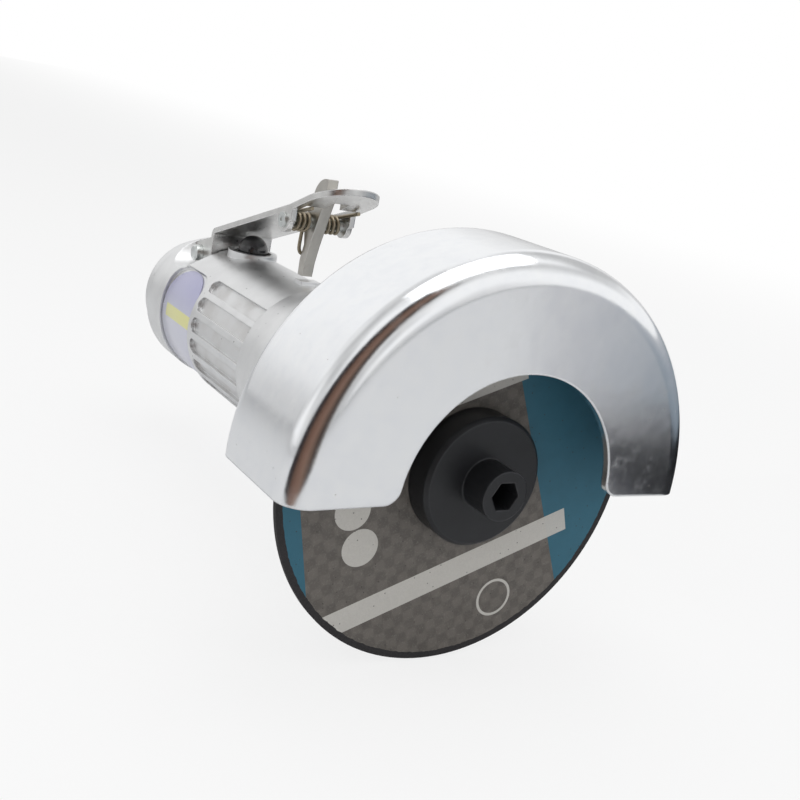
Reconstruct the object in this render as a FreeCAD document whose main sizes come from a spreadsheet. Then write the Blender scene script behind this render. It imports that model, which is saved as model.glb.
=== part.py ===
import FreeCAD, Part
import math
import os

import Sketcher
from FreeCAD import Placement, Rotation, Vector

# Pneumatic cut off tool: a vane motor in a die-cast barrel, with a 75 mm wheel on its spindle.
# The spindle runs along Y. Depths are measured rearwards from the front face of the wheel,
# and every sub-part is then moved forwards by inlet_mouth, which puts the origin of the
# finished tool at the mouth of the air inlet. +Z points to the throttle lever.

doc = FreeCAD.newDocument("CutOffTool")
sheet = doc.addObject("Spreadsheet::Sheet", "dims")

driving_dimensions = [
    # cutting wheel and what clamps it
    ("wheel_radius", 37.5, "radius of the cutting wheel"),
    ("wheel_thick", 1.0, "thickness of the cutting wheel"),
    ("wheel_bore", 4.75, "radius of the wheel's bore"),
    ("screw_flange_radius", 12.2, "radius of the wheel screw's flange"),
    ("screw_flange_thick", 5.8, "thickness of that flange"),
    ("screw_flange_taper", 0.7, "how much smaller the flange is in front"),
    ("screw_boss_radius", 4.6, "radius of the boss round the hex socket"),
    ("screw_boss_front", 12.0, "how far the boss reaches in front of the wheel"),
    ("screw_pilot", 0.8, "length of the pilot that centres the wheel"),
    ("screw_socket", 5.0, "hex socket across flats"),
    ("screw_socket_deep", 6.0, "depth of the hex socket"),
    ("screw_thread", 3.0, "radius of the M6 thread"),
    ("screw_reach", 15.0, "how far the thread reaches behind the wheel's front face"),
    ("flange_thick", 3.2, "thickness of the inner flange's plate"),
    ("flange_hub_radius", 7.5, "radius of the inner flange's hub"),
    ("flange_hub_long", 3.0, "length of that hub"),
    # guard
    ("guard_gap", 3.1, "room between the wheel's rim and the guard's rim"),
    ("guard_front", 12.8, "how far the guard's front wall stands in front of the wheel face"),
    ("guard_back", 14.0, "how far the guard's back plate stands behind the wheel face"),
    ("guard_sheet", 1.6, "thickness of the guard's sheet"),
    ("guard_cutout", 22.2, "radius of the opening in the front wall"),
    ("guard_front_bend", 5.0, "outside radius of the front bend"),
    ("guard_back_bend", 4.0, "outside radius of the back bend"),
    ("guard_sweep", 182.0, "angle that the rim covers, in degrees"),
    ("guard_lobe_inset", 1.5, "step from the collar in to the back plate's ring"),
    ("guard_hole_play", 0.3, "room between that ring's hole and the clamp nut's thread"),
    ("guard_play", 0.1, "clearance on each side of the back plate"),
    ("guard_corner", 3.0, "rounding of the front wall's inner corners"),
    # barrel and its rear block
    ("barrel_radius", 17.4, "radius of the grip"),
    ("collar_step", 3.6, "how far the housing's front collar stands out from the grip"),
    ("collar_end", 48.0, "where the collar starts to taper down to the grip"),
    ("collar_rounding", 14.0, "rounding between the collar and its taper"),
    ("collar_chamfer", 1.0, "chamfer of the front rim"),
    ("taper_end", 63.5, "where the taper meets the grip"),
    ("taper_step", 0.4, "height of the small step at the end of the taper"),
    ("rear_behind", 10.5, "from the lever's pin to the rear face of the housing"),
    ("rear_rounding", 3.0, "rounding of the rear rim"),
    ("barrel_wall", 2.4, "wall of the grip round the bore that holds the motor"),
    ("pack_play", 0.03, "clearance of what slides into a bore and stays there"),
    ("running_play", 0.06, "radial clearance of what turns or slides"),
    # grip slots
    ("slot_count", 16, "number of grip slots"),
    ("slot_step", 17.2, "angle between grip slots, in degrees"),
    ("slot_wide", 3.6, "width of a grip slot"),
    ("slot_deep", 1.0, "depth of a grip slot"),
    ("slot_front", 63.9, "front end of the grip slots"),
    ("slot_rear", 92.8, "rear tip of the grip slots"),
    # label
    ("label_gap", 1.5, "gap from the grip slots to the label recess"),
    ("label_wide", 19.6, "width of the label recess"),
    ("label_recess", 0.9, "depth of the label recess"),
    ("label_sweep", 266.0, "angle that the recess covers round the underside, in degrees"),
    ("label_corner_share", 0.31, "rounding of the recess ends, as a share of the grip's radius"),
    ("label_thick", 0.3, "thickness of the label"),
    ("label_margin", 0.8, "gap between the label and the recess edge"),
    ("label_rounding_share", 0.17, "rounding of the label, as a share of the grip's radius"),
    # motor
    ("liner_long", 40.0, "length of the cylinder liner"),
    ("liner_wall", 3.0, "wall of the liner, before its bore is moved down"),
    ("liner_offset", 1.2, "how far the liner's bore lies below the spindle axis"),
    ("exhaust_flat_depth", 0.8, "depth of the liner's exhaust flats"),
    ("exhaust_port", 1.5, "radius of an exhaust port in the liner"),
    ("exhaust_port_step", 9.0, "distance between exhaust ports"),
    ("exhaust_radius", 2.2, "radius of an exhaust passage"),
    ("exhaust_inset", 3.2, "how far the exhaust passages lie inside the motor bore"),
    ("exhaust_angle", 129.0, "angle of an exhaust passage from the top, in degrees"),
    ("rotor_gap", 0.3, "gap between the rotor and the liner at the bottom"),
    ("rotor_end_play", 0.15, "clearance at each end of the rotor"),
    ("vane_count", 5, "number of vanes"),
    ("vane_thick", 1.9, "thickness of a vane"),
    ("vane_play", 0.05, "clearance round a vane"),
    ("vane_root", 4.6, "distance from the axis to the foot of a vane"),
    ("spindle_nose", 4.0, "radius of the spindle's nose, under the inner flange"),
    ("spindle_nose_front", 1.6, "front end of the spindle's nose"),
    ("front_journal", 5.0, "radius of the front bearing's seat on the spindle"),
    ("rear_journal", 4.0, "radius of the rear bearing's seat on the spindle"),
    ("front_bearing_inset", 2.0, "wall of the end plate round the front bearing"),
    ("front_bearing_wide", 8.0, "width of the front bearing"),
    ("rear_bearing_inset", 4.0, "wall of the end plate round the rear bearing"),
    ("rear_bearing_wide", 7.0, "width of the rear bearing"),
    ("race_gap", 0.3, "gap between a bearing's shield and its inner ring"),
    ("race_wall", 2.2, "wall of a bearing's inner ring"),
    ("front_web", 3.0, "web of the front end plate"),
    ("rear_web", 2.0, "web of the rear end plate"),
    ("web_play", 0.4, "clearance of the spindle in the end plates"),
    ("dowel_radius", 1.0, "radius of the locating pin"),
    ("dowel_across", 5.5, "sideways place of the locating pin"),
    ("dowel_inset", 3.2, "how far the locating pin lies inside the motor bore"),
    ("dowel_reach", 3.0, "how far the pin reaches into the liner and into the housing"),
    ("washer_high", 1.2, "height of the conical preload washer"),
    ("washer_thick", 0.6, "thickness of that washer"),
    # clamp nut
    ("nut_flange_inset", 3.0, "step from the collar in to the clamp nut's flange"),
    ("nut_flange_thick", 2.2, "thickness of that flange"),
    ("nut_thread_long", 3.9, "how far the nut screws into the housing"),
    ("nut_bore", 5.6, "radius of the nut's bore"),
    ("nut_hole", 1.5, "radius of a pin-spanner hole"),
    ("nut_hole_inset", 2.5, "how far those holes lie inside the motor bore"),
    ("nut_hole_deep", 2.5, "depth of those holes"),
    ("seal_radius", 8.9, "outer radius of the felt seal"),
    ("seal_thick", 2.9, "thickness of the felt seal"),
    # throttle valve
    ("valve_behind", 9.1, "how far the valve stands behind the grip slots"),
    ("boss_radius", 6.1, "radius of the valve boss"),
    ("boss_high", 0.8, "height of the valve boss above the grip"),
    ("valve_bore", 4.6, "radius of the valve bore"),
    ("valve_floor", 7.0, "depth of the valve bore below the axis"),
    ("bushing_sunk", 3.0, "how far the valve bushing lies below the boss"),
    ("bushing_foot", 6.0, "foot of the valve bushing, which is the valve seat"),
    ("bushing_room", 3.3, "inner radius of the bushing's air chamber"),
    ("bushing_guide", 2.6, "length of the bushing's guide for the stem"),
    ("stem_radius", 2.0, "radius of the valve stem"),
    ("poppet_radius", 4.0, "radius of the valve head"),
    ("poppet_thick", 1.6, "thickness of the valve head"),
    ("facing_thick", 1.0, "thickness of the rubber facing"),
    ("button_radius", 3.7, "radius of the valve button"),
    ("button_sunk", 0.8, "how far the valve button reaches into the boss"),
    ("button_neck", 1.0, "height above the boss where the button starts to curve in"),
    ("button_high", 4.0, "height of the valve button above the boss"),
    ("button_cap", 3.2, "thickness of the button above the stem"),
    ("valve_wire", 0.35, "wire radius of the valve spring"),
    ("valve_coil", 3.1, "mean radius of the valve spring"),
    ("valve_turns", 4, "turns of the valve spring"),
    ("feed_radius", 1.7, "radius of the air passage to the motor"),
    ("feed_up", 10.5, "height of that passage at the valve"),
    ("feed_plate_inset", 2.1, "how far the port in the rear end plate lies inside the motor bore"),
    # air inlet
    ("inlet_out", 16.0, "how far the inlet's mouth stands behind the housing"),
    ("inlet_bore", 8.3, "radius of the housing's inlet bore"),
    ("seat_behind", 10.1, "from the valve to the bottom of the housing's inlet bore"),
    ("inlet_thread", 5.6, "radius of the quarter inch pipe thread"),
    ("inlet_thread_long", 14.0, "length of that thread"),
    ("inlet_relief", 6.0, "radius of the relief groove at the end of the thread"),
    ("inlet_relief_long", 1.6, "length of that groove"),
    ("inlet_passage", 3.8, "radius of the passage to the valve"),
    ("inlet_passage_drop", 1.0, "how far that passage lies below the axis"),
    ("inlet_hex", 17.0, "spanner size of the inlet bushing"),
    ("inlet_hex_long", 10.0, "length of its hexagon"),
    ("inlet_neck", 7.6, "radius of the neck that carries the exhaust deflector"),
    ("screen_thick", 0.8, "thickness of the inlet screen"),
    ("screen_pocket", 5.2, "radius of the pocket that the screen lies in"),
    ("screen_hole", 0.8, "radius of a hole in the screen"),
    ("screen_circle", 3.2, "distance of the screen's outer holes from its centre"),
    ("deflector_inset", 2.4, "step from the grip in to the exhaust deflector"),
    ("deflector_wall", 1.4, "wall of the exhaust deflector"),
    ("deflector_gap", 0.3, "clearance in front of and behind the deflector"),
    ("deflector_port", 1.2, "radius of a port in the deflector"),
    ("deflector_ports", 10, "number of ports"),
    # throttle lever
    ("lever_half", 8.0, "half the width of the lever"),
    ("lever_sheet", 1.3, "thickness of the lever's sheet"),
    ("pin_behind", 13.6, "how far the lever's pin stands behind the valve"),
    ("pin_down", 3.2, "depth of the lever's pin below the top of the grip"),
    ("pin_radius", 2.0, "radius of the lever's pin"),
    ("pin_out", 2.0, "how far the lever's pin stands out on each side"),
    ("pin_chamfer", 0.4, "chamfer of the lever's pin"),
    ("pin_eye", 3.5, "radius of the lever's rear eyes"),
    ("leg_behind", 8.2, "how far the rear face of the lever's leg lies behind the valve"),
    ("leg_down", 2.8, "depth of the leg's lower edge below the top of the grip"),
    ("web_high", 4.2, "height of the web's top above the grip at the leg's rear face"),
    ("web_rise", 0.335, "how fast the web climbs, per mm"),
    ("paddle_bend", 2.0, "how far in front of the latch's pin the paddle starts"),
    ("paddle_rise", 0.42, "how fast the paddle climbs, per mm"),
    ("paddle_long", 18.0, "how far the paddle reaches in front of the latch's pin"),
    ("lever_bend", 2.2, "outside radius of the bend above the leg"),
    ("tongue_play", 0.3, "room between the housing's tongue and each of the lever's eyes"),
    ("pocket_radius", 7.5, "radius of the pockets round the lever's eyes"),
    ("pocket_shift", 0.5, "how far the pockets' centre lies in front of the pin"),
    ("pocket_high", 0.2, "height of their centre above the grip"),
    ("leg_slot_play", 0.7, "clearance in front of the leg, which the press takes up"),
    ("leg_slot_rear_play", 0.35, "clearance behind the leg"),
    ("leg_slot_drop", 1.4, "clearance below the leg, which the press takes up"),
    # safety latch
    ("latch_ahead", 38.1, "how far in front of the leg the latch's pin stands"),
    ("latch_pin_high", 13.8, "height of the latch's pin above the grip"),
    ("latch_pin_radius", 1.2, "radius of the latch's pin"),
    ("latch_head", 1.7, "radius of the pin's riveted heads"),
    ("latch_head_thick", 0.45, "height of those heads"),
    ("latch_dimple", 0.8, "radius of the dimple in each head"),
    ("latch_eye", 2.7, "radius of the ears' round ends"),
    ("latch_ear_front", 3.4, "how far the ears reach in front of the pin"),
    ("latch_ear_rear", 3.2, "how far the ears reach behind the pin"),
    ("latch_half", 1.3, "half the thickness of the latch"),
    ("latch_hub", 3.0, "radius of the latch round its pin"),
    ("latch_lift", 0.8, "gap between the latch's foot and the stop"),
    ("latch_foot_wide", 2.1, "width of that end"),
    ("latch_calf", 3.3, "width of the leg above its foot"),
    ("latch_thigh", 5.2, "how far below the pin the leg meets the latch's body"),
    ("tab_front", 5.0, "how far the latch's tab reaches in front of its pin"),
    ("tab_high", 10.5, "height of the tab above the latch's pin"),
    ("tab_rear", 0.6, "how far the tab reaches behind the pin"),
    ("tab_round", 5.2, "rounding of the tab's back"),
    ("window_edge", 1.7, "edge left beside the window above the latch's spring"),
    ("window_ahead", 6.6, "how far the window reaches in front of the latch's pin"),
    ("window_behind", 3.4, "how far the window reaches behind it"),
    ("tab_slot_half", 1.8, "half the width of the slot in front of the window"),
    ("tab_slot_ahead", 10.8, "how far that slot reaches in front of the latch's pin"),
    ("stop_ahead", 2.5, "how far that stop reaches in front of the latch's pin"),
    ("stop_behind", 0.7, "how far the stop reaches behind it"),
    ("stop_half", 2.4, "half the width of that stop"),
    ("stop_high", 0.75, "height of that stop above the grip"),
    # latch spring
    ("wire_radius", 0.33, "wire radius of the latch spring"),
    ("coil_radius", 1.85, "mean radius of the latch spring"),
    ("coil_play", 1.15, "room between the last curl of the latch spring and the lever's ear"),
    ("coil_turns", 3, "whole curls on each side of the latch"),
    ("coil_inner", 1.95, "distance from the middle of the latch to the first curl"),
    ("loop_rear", 2.5, "how far behind the pin the spring's loop crosses the latch"),
    ("loop_drop", 7.9, "how far below the pin it crosses"),
    ("arm_long", 9.2, "length of the spring's arms"),
    ("arm_rise", 0.29, "how fast the arms climb, per mm"),
]

# Sizes that follow from those above.
following_dimensions = [
    ("guard_radius", "wheel_radius + guard_gap + guard_sheet", "outer radius of the guard's rim"),
    ("collar_radius", "barrel_radius + collar_step", "radius of the front collar"),
    ("motor_bore", "barrel_radius - barrel_wall", "radius of the motor's bore"),
    ("liner_bore", "motor_bore - liner_wall", "radius of the liner's bore"),
    ("exhaust_flat", "motor_bore - exhaust_flat_depth", "distance of the flats from the axis"),
    ("exhaust_circle", "motor_bore - exhaust_inset", "distance of the exhaust passages from the axis"),
    ("rotor_radius", "liner_bore - liner_offset - rotor_gap", "radius of the rotor"),
    ("front_bearing_radius", "motor_bore - front_bearing_inset", "outer radius of the front bearing"),
    ("rear_bearing_radius", "motor_bore - rear_bearing_inset", "outer radius of the rear bearing"),
    ("dowel_up", "motor_bore - dowel_inset", "height of the locating pin"),
    ("feed_plate_up", "motor_bore - feed_plate_inset", "height of the rear end plate's port"),
    ("nut_flange_radius", "collar_radius - nut_flange_inset", "radius of the clamp nut's flange"),
    ("nut_hole_circle", "motor_bore - nut_hole_inset", "distance of the nut's holes from the axis"),
    ("guard_lobe", "collar_radius - guard_lobe_inset", "radius of the back plate's ring"),
    ("guard_hole", "motor_bore + guard_hole_play", "radius of the hole in that ring"),
    ("deflector_radius", "barrel_radius - deflector_inset", "radius of the exhaust deflector"),
    ("boss_top", "barrel_radius + boss_high", "height of the valve boss"),
    ("bushing_top", "boss_top - bushing_sunk", "top of the valve bushing"),
    ("button_foot", "boss_top - button_sunk", "foot of the valve button"),
    ("button_shoulder", "boss_top + button_neck", "where the button starts to curve in"),
    ("button_top", "boss_top + button_high", "top of the valve button"),
    ("pin_up", "barrel_radius - pin_down", "height of the lever's pin"),
    ("leg_foot", "barrel_radius - leg_down", "lower edge of the leg"),
    ("web_start", "barrel_radius + web_high", "height of the web's top at the leg's rear face"),
    ("pocket_up", "barrel_radius + pocket_high", "height of the pockets' centre"),
    ("latch_pin_up", "barrel_radius + latch_pin_high", "height of the latch's pin"),
    ("label_corner", "barrel_radius * label_corner_share", "rounding of the recess ends"),
    ("label_rounding", "barrel_radius * label_rounding_share", "rounding of the label's corners"),
    ("tongue_half", "lever_half - lever_sheet - tongue_play", "half the width of the housing's tongue"),
    ("pin_half", "lever_half + pin_out", "half the length of the lever's pin"),
    ("window_half", "lever_half - window_edge", "half the width of the window"),
    ("coil_pitch", "(lever_half - lever_sheet - coil_play - coil_inner) / coil_turns",
     "distance between curls of the latch spring"),
    ("stop_top", "barrel_radius + stop_high", "top of the stop"),
    ("latch_foot", "stop_top + latch_lift", "lower end of the latch's leg"),
    ("latch_waist", "latch_pin_up - latch_thigh", "height where the leg meets the latch's body"),
    ("tab_top", "latch_pin_up + tab_high", "top of the tab"),
    ("label_front", "slot_rear + label_gap", "front edge of the label recess"),
    ("label_rear", "label_front + label_wide", "rear edge of the label recess"),
    ("valve_depth", "slot_rear + valve_behind", "where the valve stands along the tool"),
    ("leg_rear", "valve_depth + leg_behind", "rear face of the lever's leg"),
    ("pin_depth", "valve_depth + pin_behind", "where the lever's pin stands"),
    ("pocket_depth", "pin_depth - pocket_shift", "centre of the pockets along the tool"),
    ("housing_rear", "pin_depth + rear_behind", "rear face of the housing"),
    ("inlet_mouth", "housing_rear + inlet_out", "mouth of the air inlet"),
    ("inlet_seat", "valve_depth + seat_behind", "bottom of the housing's inlet bore"),
    ("latch_pin_depth", "leg_rear - latch_ahead", "where the latch's pin stands"),
    ("paddle_start", "latch_pin_depth - paddle_bend", "where the paddle starts"),
    ("paddle_tip", "latch_pin_depth - paddle_long", "front end of the paddle"),
    ("window_front", "latch_pin_depth - window_ahead", "front of the window"),
    ("window_rear", "latch_pin_depth + window_behind", "rear of the window"),
    ("tab_slot_front", "latch_pin_depth - tab_slot_ahead", "front end of the tab's slot"),
    ("stop_front", "latch_pin_depth - stop_ahead", "front of the stop"),
    ("stop_rear", "latch_pin_depth + stop_behind", "rear of the stop"),
]

for row, (alias, value, note) in enumerate(driving_dimensions, start=1):
    sheet.set("A%d" % row, note)
    sheet.set("B%d" % row, str(value))
    sheet.setAlias("B%d" % row, alias)
for row, (alias, value, note) in enumerate(following_dimensions, start=len(driving_dimensions) + 1):
    sheet.set("A%d" % row, note)
    sheet.set("B%d" % row, "=" + value)
    sheet.setAlias("B%d" % row, alias)
doc.recompute()

aliases = set(alias for alias, value, note in driving_dimensions + following_dimensions)


def bound(text):
    """An expression on the sheet, from words such as 'wheel_radius - 2'."""
    words = []
    word = ""
    for letter in str(text) + " ":
        if letter.isalnum() or letter in "._":
            word += letter
            continue
        words.append("dims." + word if word in aliases else word)
        words.append(letter)
        word = ""
    return "".join(words).strip()


def size(text):
    """The number that such an expression stands for."""
    return float(sheet.evalExpression(bound(text)))


def plane_of(body, role):
    return [item for item in body.Origin.OriginFeatures if item.Role == role][0]


def new_body(label):
    body = doc.addObject("PartDesign::Body", label)
    body.Label = label
    body.setExpression("Placement.Base.y", bound("-inlet_mouth"))
    return body


def new_sketch(body, role, lift=None):
    """A sketch on one of the body's own planes, lifted off it by an expression."""
    sketch = body.newObject("Sketcher::SketchObject", body.Name + "_sketch")
    sketch.AttachmentSupport = [(plane_of(body, role), "")]
    sketch.MapMode = "FlatFace"
    if lift is not None:
        sketch.setExpression("AttachmentOffset.Base.z", bound(lift))
    return sketch


def across_tool(body, depth):
    """A sketch square to the spindle at a depth: its axes are X and Z."""
    return new_sketch(body, "XZ_Plane", lift="-(%s)" % depth)


def hold(sketch, kind, geometry, place, text):
    index = sketch.addConstraint(Sketcher.Constraint(kind, -1, 1, geometry, place, size(text)))
    sketch.setExpression("Constraints[%d]" % index, bound(text))


def outline(sketch, corners):
    """A closed outline through corners, given as pairs of expressions.

    A corner with a third and a fourth entry starts an arc to the next corner: the third says
    whether the X or the Y of the arc's centre is given, and the fourth is that expression.
    Arcs run counter-clockwise, or clockwise with a fifth entry "inward".
    """
    first = sketch.GeometryCount
    count = len(corners)
    spots = [Vector(size(corner[0]), size(corner[1]), 0) for corner in corners]
    starts = []
    ends = []
    for i, corner in enumerate(corners):
        here = spots[i]
        there = spots[(i + 1) % count]
        if len(corner) == 2:
            sketch.addGeometry(Part.LineSegment(here, there), False)
            starts.append(1)
            ends.append(2)
            continue
        inward = len(corner) == 5
        centre = arc_centre(here, there, corner[2], size(corner[3]))
        begin = there if inward else here
        finish = here if inward else there
        angles = [math.atan2(spot.y - centre.y, spot.x - centre.x) for spot in (begin, finish)]
        ring = Part.Circle(centre, Vector(0, 0, 1), (begin - centre).Length)
        sketch.addGeometry(Part.ArcOfCircle(ring, angles[0], angles[1]), False)
        starts.append(2 if inward else 1)
        ends.append(1 if inward else 2)
    for i, corner in enumerate(corners):
        follower = (i + 1) % count
        sketch.addConstraint(Sketcher.Constraint(
            "Coincident", first + i, ends[i], first + follower, starts[follower]))
        hold(sketch, "DistanceX", first + i, starts[i], corner[0])
        hold(sketch, "DistanceY", first + i, starts[i], corner[1])
        if len(corner) > 2:
            hold(sketch, "Distance" + corner[2], first + i, 3, corner[3])


def arc_centre(here, there, given, value):
    """The centre on the bisector of two points whose X or Y is given."""
    middle = (here + there) / 2
    chord = there - here
    if given == "X":
        return Vector(value, middle.y - (value - middle.x) * chord.x / chord.y, 0)
    return Vector(middle.x - (value - middle.y) * chord.y / chord.x, value, 0)


def circle(sketch, across, up, radius):
    spot = Vector(size(across), size(up), 0)
    index = sketch.addGeometry(Part.Circle(spot, Vector(0, 0, 1), size(radius)), False)
    hold(sketch, "DistanceX", index, 3, across)
    hold(sketch, "DistanceY", index, 3, up)
    last = sketch.addConstraint(Sketcher.Constraint("Radius", index, size(radius)))
    sketch.setExpression("Constraints[%d]" % last, bound(radius))


def box_outline(sketch, left, low, right, high):
    outline(sketch, [(left, low), (right, low), (right, high), (left, high)])


def hexagon(sketch, across_flats):
    """A regular hexagon round the sketch's origin, by its spanner size."""
    corners = []
    for i in range(6):
        reach = "(%s) / 2 / cos(30)" % across_flats
        corners.append(("%s * cos(%d)" % (reach, 60 * i), "%s * sin(%d)" % (reach, 60 * i)))
    outline(sketch, corners)


def turn(body, corners, sweep=None, kind="Revolution", lengthwise=False):
    """Turns an outline of (radius, depth) pairs about the spindle.

    With lengthwise set the pairs are (depth, height) on the tool's middle plane, and the sweep
    is centred on the side where the heights lie.
    """
    sketch = new_sketch(body, "YZ_Plane" if lengthwise else "XY_Plane")
    outline(sketch, corners)
    feature = body.newObject("PartDesign::" + kind, body.Name + "_" + kind.lower())
    feature.Profile = sketch
    feature.ReferenceAxis = (sketch, ["H_Axis" if lengthwise else "V_Axis"])
    if sweep is None:
        feature.Angle = 360
    else:
        feature.Midplane = True
        feature.setExpression("Angle", bound(sweep))
    doc.recompute()
    return feature


def pad(body, sketch, length, both_ways=False, reverse=False):
    feature = body.newObject("PartDesign::Pad", body.Name + "_pad")
    feature.Profile = sketch
    feature.Midplane = both_ways
    feature.Reversed = reverse
    feature.setExpression("Length", bound(length))
    doc.recompute()
    return feature


def pocket(body, sketch, length=None, both_ways=False, reverse=False):
    """A pocket, right through without a length, that must take something away."""
    doc.recompute()
    before = body.Shape.Volume
    feature = body.newObject("PartDesign::Pocket", body.Name + "_pocket")
    feature.Profile = sketch
    feature.Midplane = both_ways
    feature.Reversed = reverse
    if length is None:
        feature.Type = "ThroughAll"
    else:
        feature.setExpression("Length", bound(length))
    doc.recompute()
    if body.Shape.Volume > before - 0.001:
        raise RuntimeError("%s cuts nothing" % feature.Name)
    return feature


def polar(body, feature, axis_role, count, whole=None):
    """Copies a feature round one of the body's axes, through a whole angle."""
    pattern = body.newObject("PartDesign::PolarPattern", body.Name + "_pattern")
    pattern.Originals = [feature]
    pattern.Axis = (plane_of(body, axis_role), [""])
    pattern.setExpression("Occurrences", bound(count))
    if whole is None:
        pattern.Angle = 360
    else:
        pattern.setExpression("Angle", bound(whole))
    body.Tip = pattern
    doc.recompute()
    return pattern


def mirror(body, features):
    """Repeats features on the other side of the tool's middle plane."""
    copy = body.newObject("PartDesign::Mirrored", body.Name + "_mirrored")
    copy.Originals = features
    copy.MirrorPlane = (plane_of(body, "YZ_Plane"), [""])
    body.Tip = copy
    doc.recompute()
    return copy


def dress(body, kind, value, wanted):
    """A fillet or chamfer on the edges of the body's last shape that pass a test."""
    doc.recompute()
    base = body.Tip
    names = ["Edge%d" % (i + 1) for i, edge in enumerate(base.Shape.Edges) if wanted(edge)]
    if not names:
        raise RuntimeError("no edge to dress on " + body.Label)
    feature = body.newObject("PartDesign::" + kind, body.Name + "_" + kind.lower())
    feature.Base = (base, names)
    feature.setExpression("Radius" if kind == "Fillet" else "Size", bound(value))
    doc.recompute()
    if "Invalid" in feature.State:
        raise RuntimeError("%s does not fit" % feature.Name)
    return feature


def ring_at(radius, depth):
    """A test for edges on a circle of that radius at that depth along the spindle."""
    radius = size(radius)
    depth = size(depth)

    def wanted(edge):
        curve = edge.Curve
        if not isinstance(curve, Part.Circle):
            return False
        return abs(curve.Radius - radius) < 0.02 and abs(curve.Center.y - depth) < 0.02

    return wanted


def straight_along(direction, test):
    """A test for straight edges along a direction whose middle passes another test."""
    def wanted(edge):
        if not isinstance(edge.Curve, Part.Line) or len(edge.Vertexes) < 2:
            return False
        run = edge.Vertexes[1].Point - edge.Vertexes[0].Point
        if run.cross(direction).Length > 0.01 * run.Length:
            return False
        return test((edge.Vertexes[0].Point + edge.Vertexes[1].Point) / 2)

    return wanted


def turned_piece(label, corners, axis=None, base=None):
    """A turned piece along Y, or along X or Z at a base given as (depth, height)."""
    body = new_body(label)
    turn(body, corners)
    if axis == "Z":
        body.Placement = Placement(Vector(), Rotation(Vector(1, 0, 0), 90))
    if axis == "X":
        body.Placement = Placement(Vector(), Rotation(Vector(0, 0, 1), -90))
    if base is not None:
        body.setExpression("Placement.Base.y", bound("%s - inlet_mouth" % base[0]))
        body.setExpression("Placement.Base.z", bound(base[1]))
    return body


def tube(inner, outer, start, end):
    """The outline of a plain turned ring."""
    return [(inner, start), (outer, start), (outer, end), (inner, end)]


# Depths that several pieces share.
housing_front = "(guard_back + guard_play)"
nut_flange_rear = "(guard_back - guard_sheet - guard_play)"
nut_front = "(%s - nut_flange_thick)" % nut_flange_rear
pack_front = "(%s + nut_thread_long)" % housing_front
front_seat_end = "(%s + front_bearing_wide)" % pack_front
liner_front = "(%s + front_web)" % front_seat_end
liner_rear = "(%s + liner_long)" % liner_front
rotor_front = "(%s + rotor_end_play)" % liner_front
rotor_rear = "(%s - rotor_end_play)" % liner_rear
rear_seat_front = "(%s + rear_web)" % liner_rear
rear_seat_end = "(%s + rear_bearing_wide)" % rear_seat_front
motor_floor = "(%s + washer_high)" % rear_seat_end
flange_rear = "(wheel_thick + flange_thick)"
hub_end = "(%s + flange_hub_long)" % flange_rear
pack_radius = "(motor_bore - pack_play)"
hex_front = "(inlet_mouth - inlet_hex_long)"
leg_front = "(leg_rear - lever_sheet)"
web_drop = "(lever_sheet * sqrt(1 + web_rise * web_rise))"
paddle_drop = "(lever_sheet * sqrt(1 + paddle_rise * paddle_rise))"
eye_inner = "(lever_half - lever_sheet)"


def web_top(depth):
    """Height of the lever's web at a depth between its leg and its paddle."""
    return "(web_start + (leg_rear - (%s)) * web_rise)" % depth


def round_place(distance, side):
    """Sideways place and height of an exhaust passage, right for side 1 and left for side -1."""
    return ("%d * %s * sin(exhaust_angle)" % (side, distance),
            "%s * cos(exhaust_angle)" % distance)


# Motor housing: one casting with the grip, the valve boss and the rear block.
housing = new_body("motor_housing")
turn(housing, [
    ("0", motor_floor),
    ("motor_bore", motor_floor),
    ("motor_bore", housing_front),
    ("collar_radius", housing_front),
    ("collar_radius", "collar_end"),
    ("barrel_radius + taper_step", "taper_end"),
    ("barrel_radius", "taper_end"),
    ("barrel_radius", "housing_rear"),
    ("inlet_bore", "housing_rear"),
    ("inlet_bore", "inlet_seat"),
    ("0", "inlet_seat"),
])
dress(housing, "Fillet", "rear_rounding", ring_at("barrel_radius", "housing_rear"))
dress(housing, "Fillet", "collar_rounding", ring_at("collar_radius", "collar_end"))
dress(housing, "Chamfer", "collar_chamfer", ring_at("collar_radius", housing_front))

boss = new_sketch(housing, "XY_Plane", lift="barrel_radius * 0.8")
circle(boss, "0", "valve_depth", "boss_radius")
pad(housing, boss, "boss_top - barrel_radius * 0.8")
stop = new_sketch(housing, "XY_Plane", lift="barrel_radius * 0.95")
box_outline(stop, "-stop_half", "stop_front", "stop_half", "stop_rear")
pad(housing, stop, "stop_top - barrel_radius * 0.95")

# Label recess round the underside, with rounded ends.
recess_floor = "(barrel_radius - label_recess)"
turn(housing, [
    ("label_front", "-%s" % recess_floor),
    ("label_front", "-barrel_radius - 1"),
    ("label_rear", "-barrel_radius - 1"),
    ("label_rear", "-%s" % recess_floor),
], sweep="label_sweep", kind="Groove", lengthwise=True)


def recess_corner(edge):
    """The short radial edges at the four corners of the recess."""
    if not isinstance(edge.Curve, Part.Line) or edge.Length > 2 * size("label_recess"):
        return False
    middle = edge.CenterOfMass
    at_side = min(abs(middle.y - size("label_front")), abs(middle.y - size("label_rear"))) < 0.02
    between = size(recess_floor) < math.hypot(middle.x, middle.z) < size("barrel_radius")
    return at_side and between


dress(housing, "Fillet", "label_corner", recess_corner)

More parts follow.
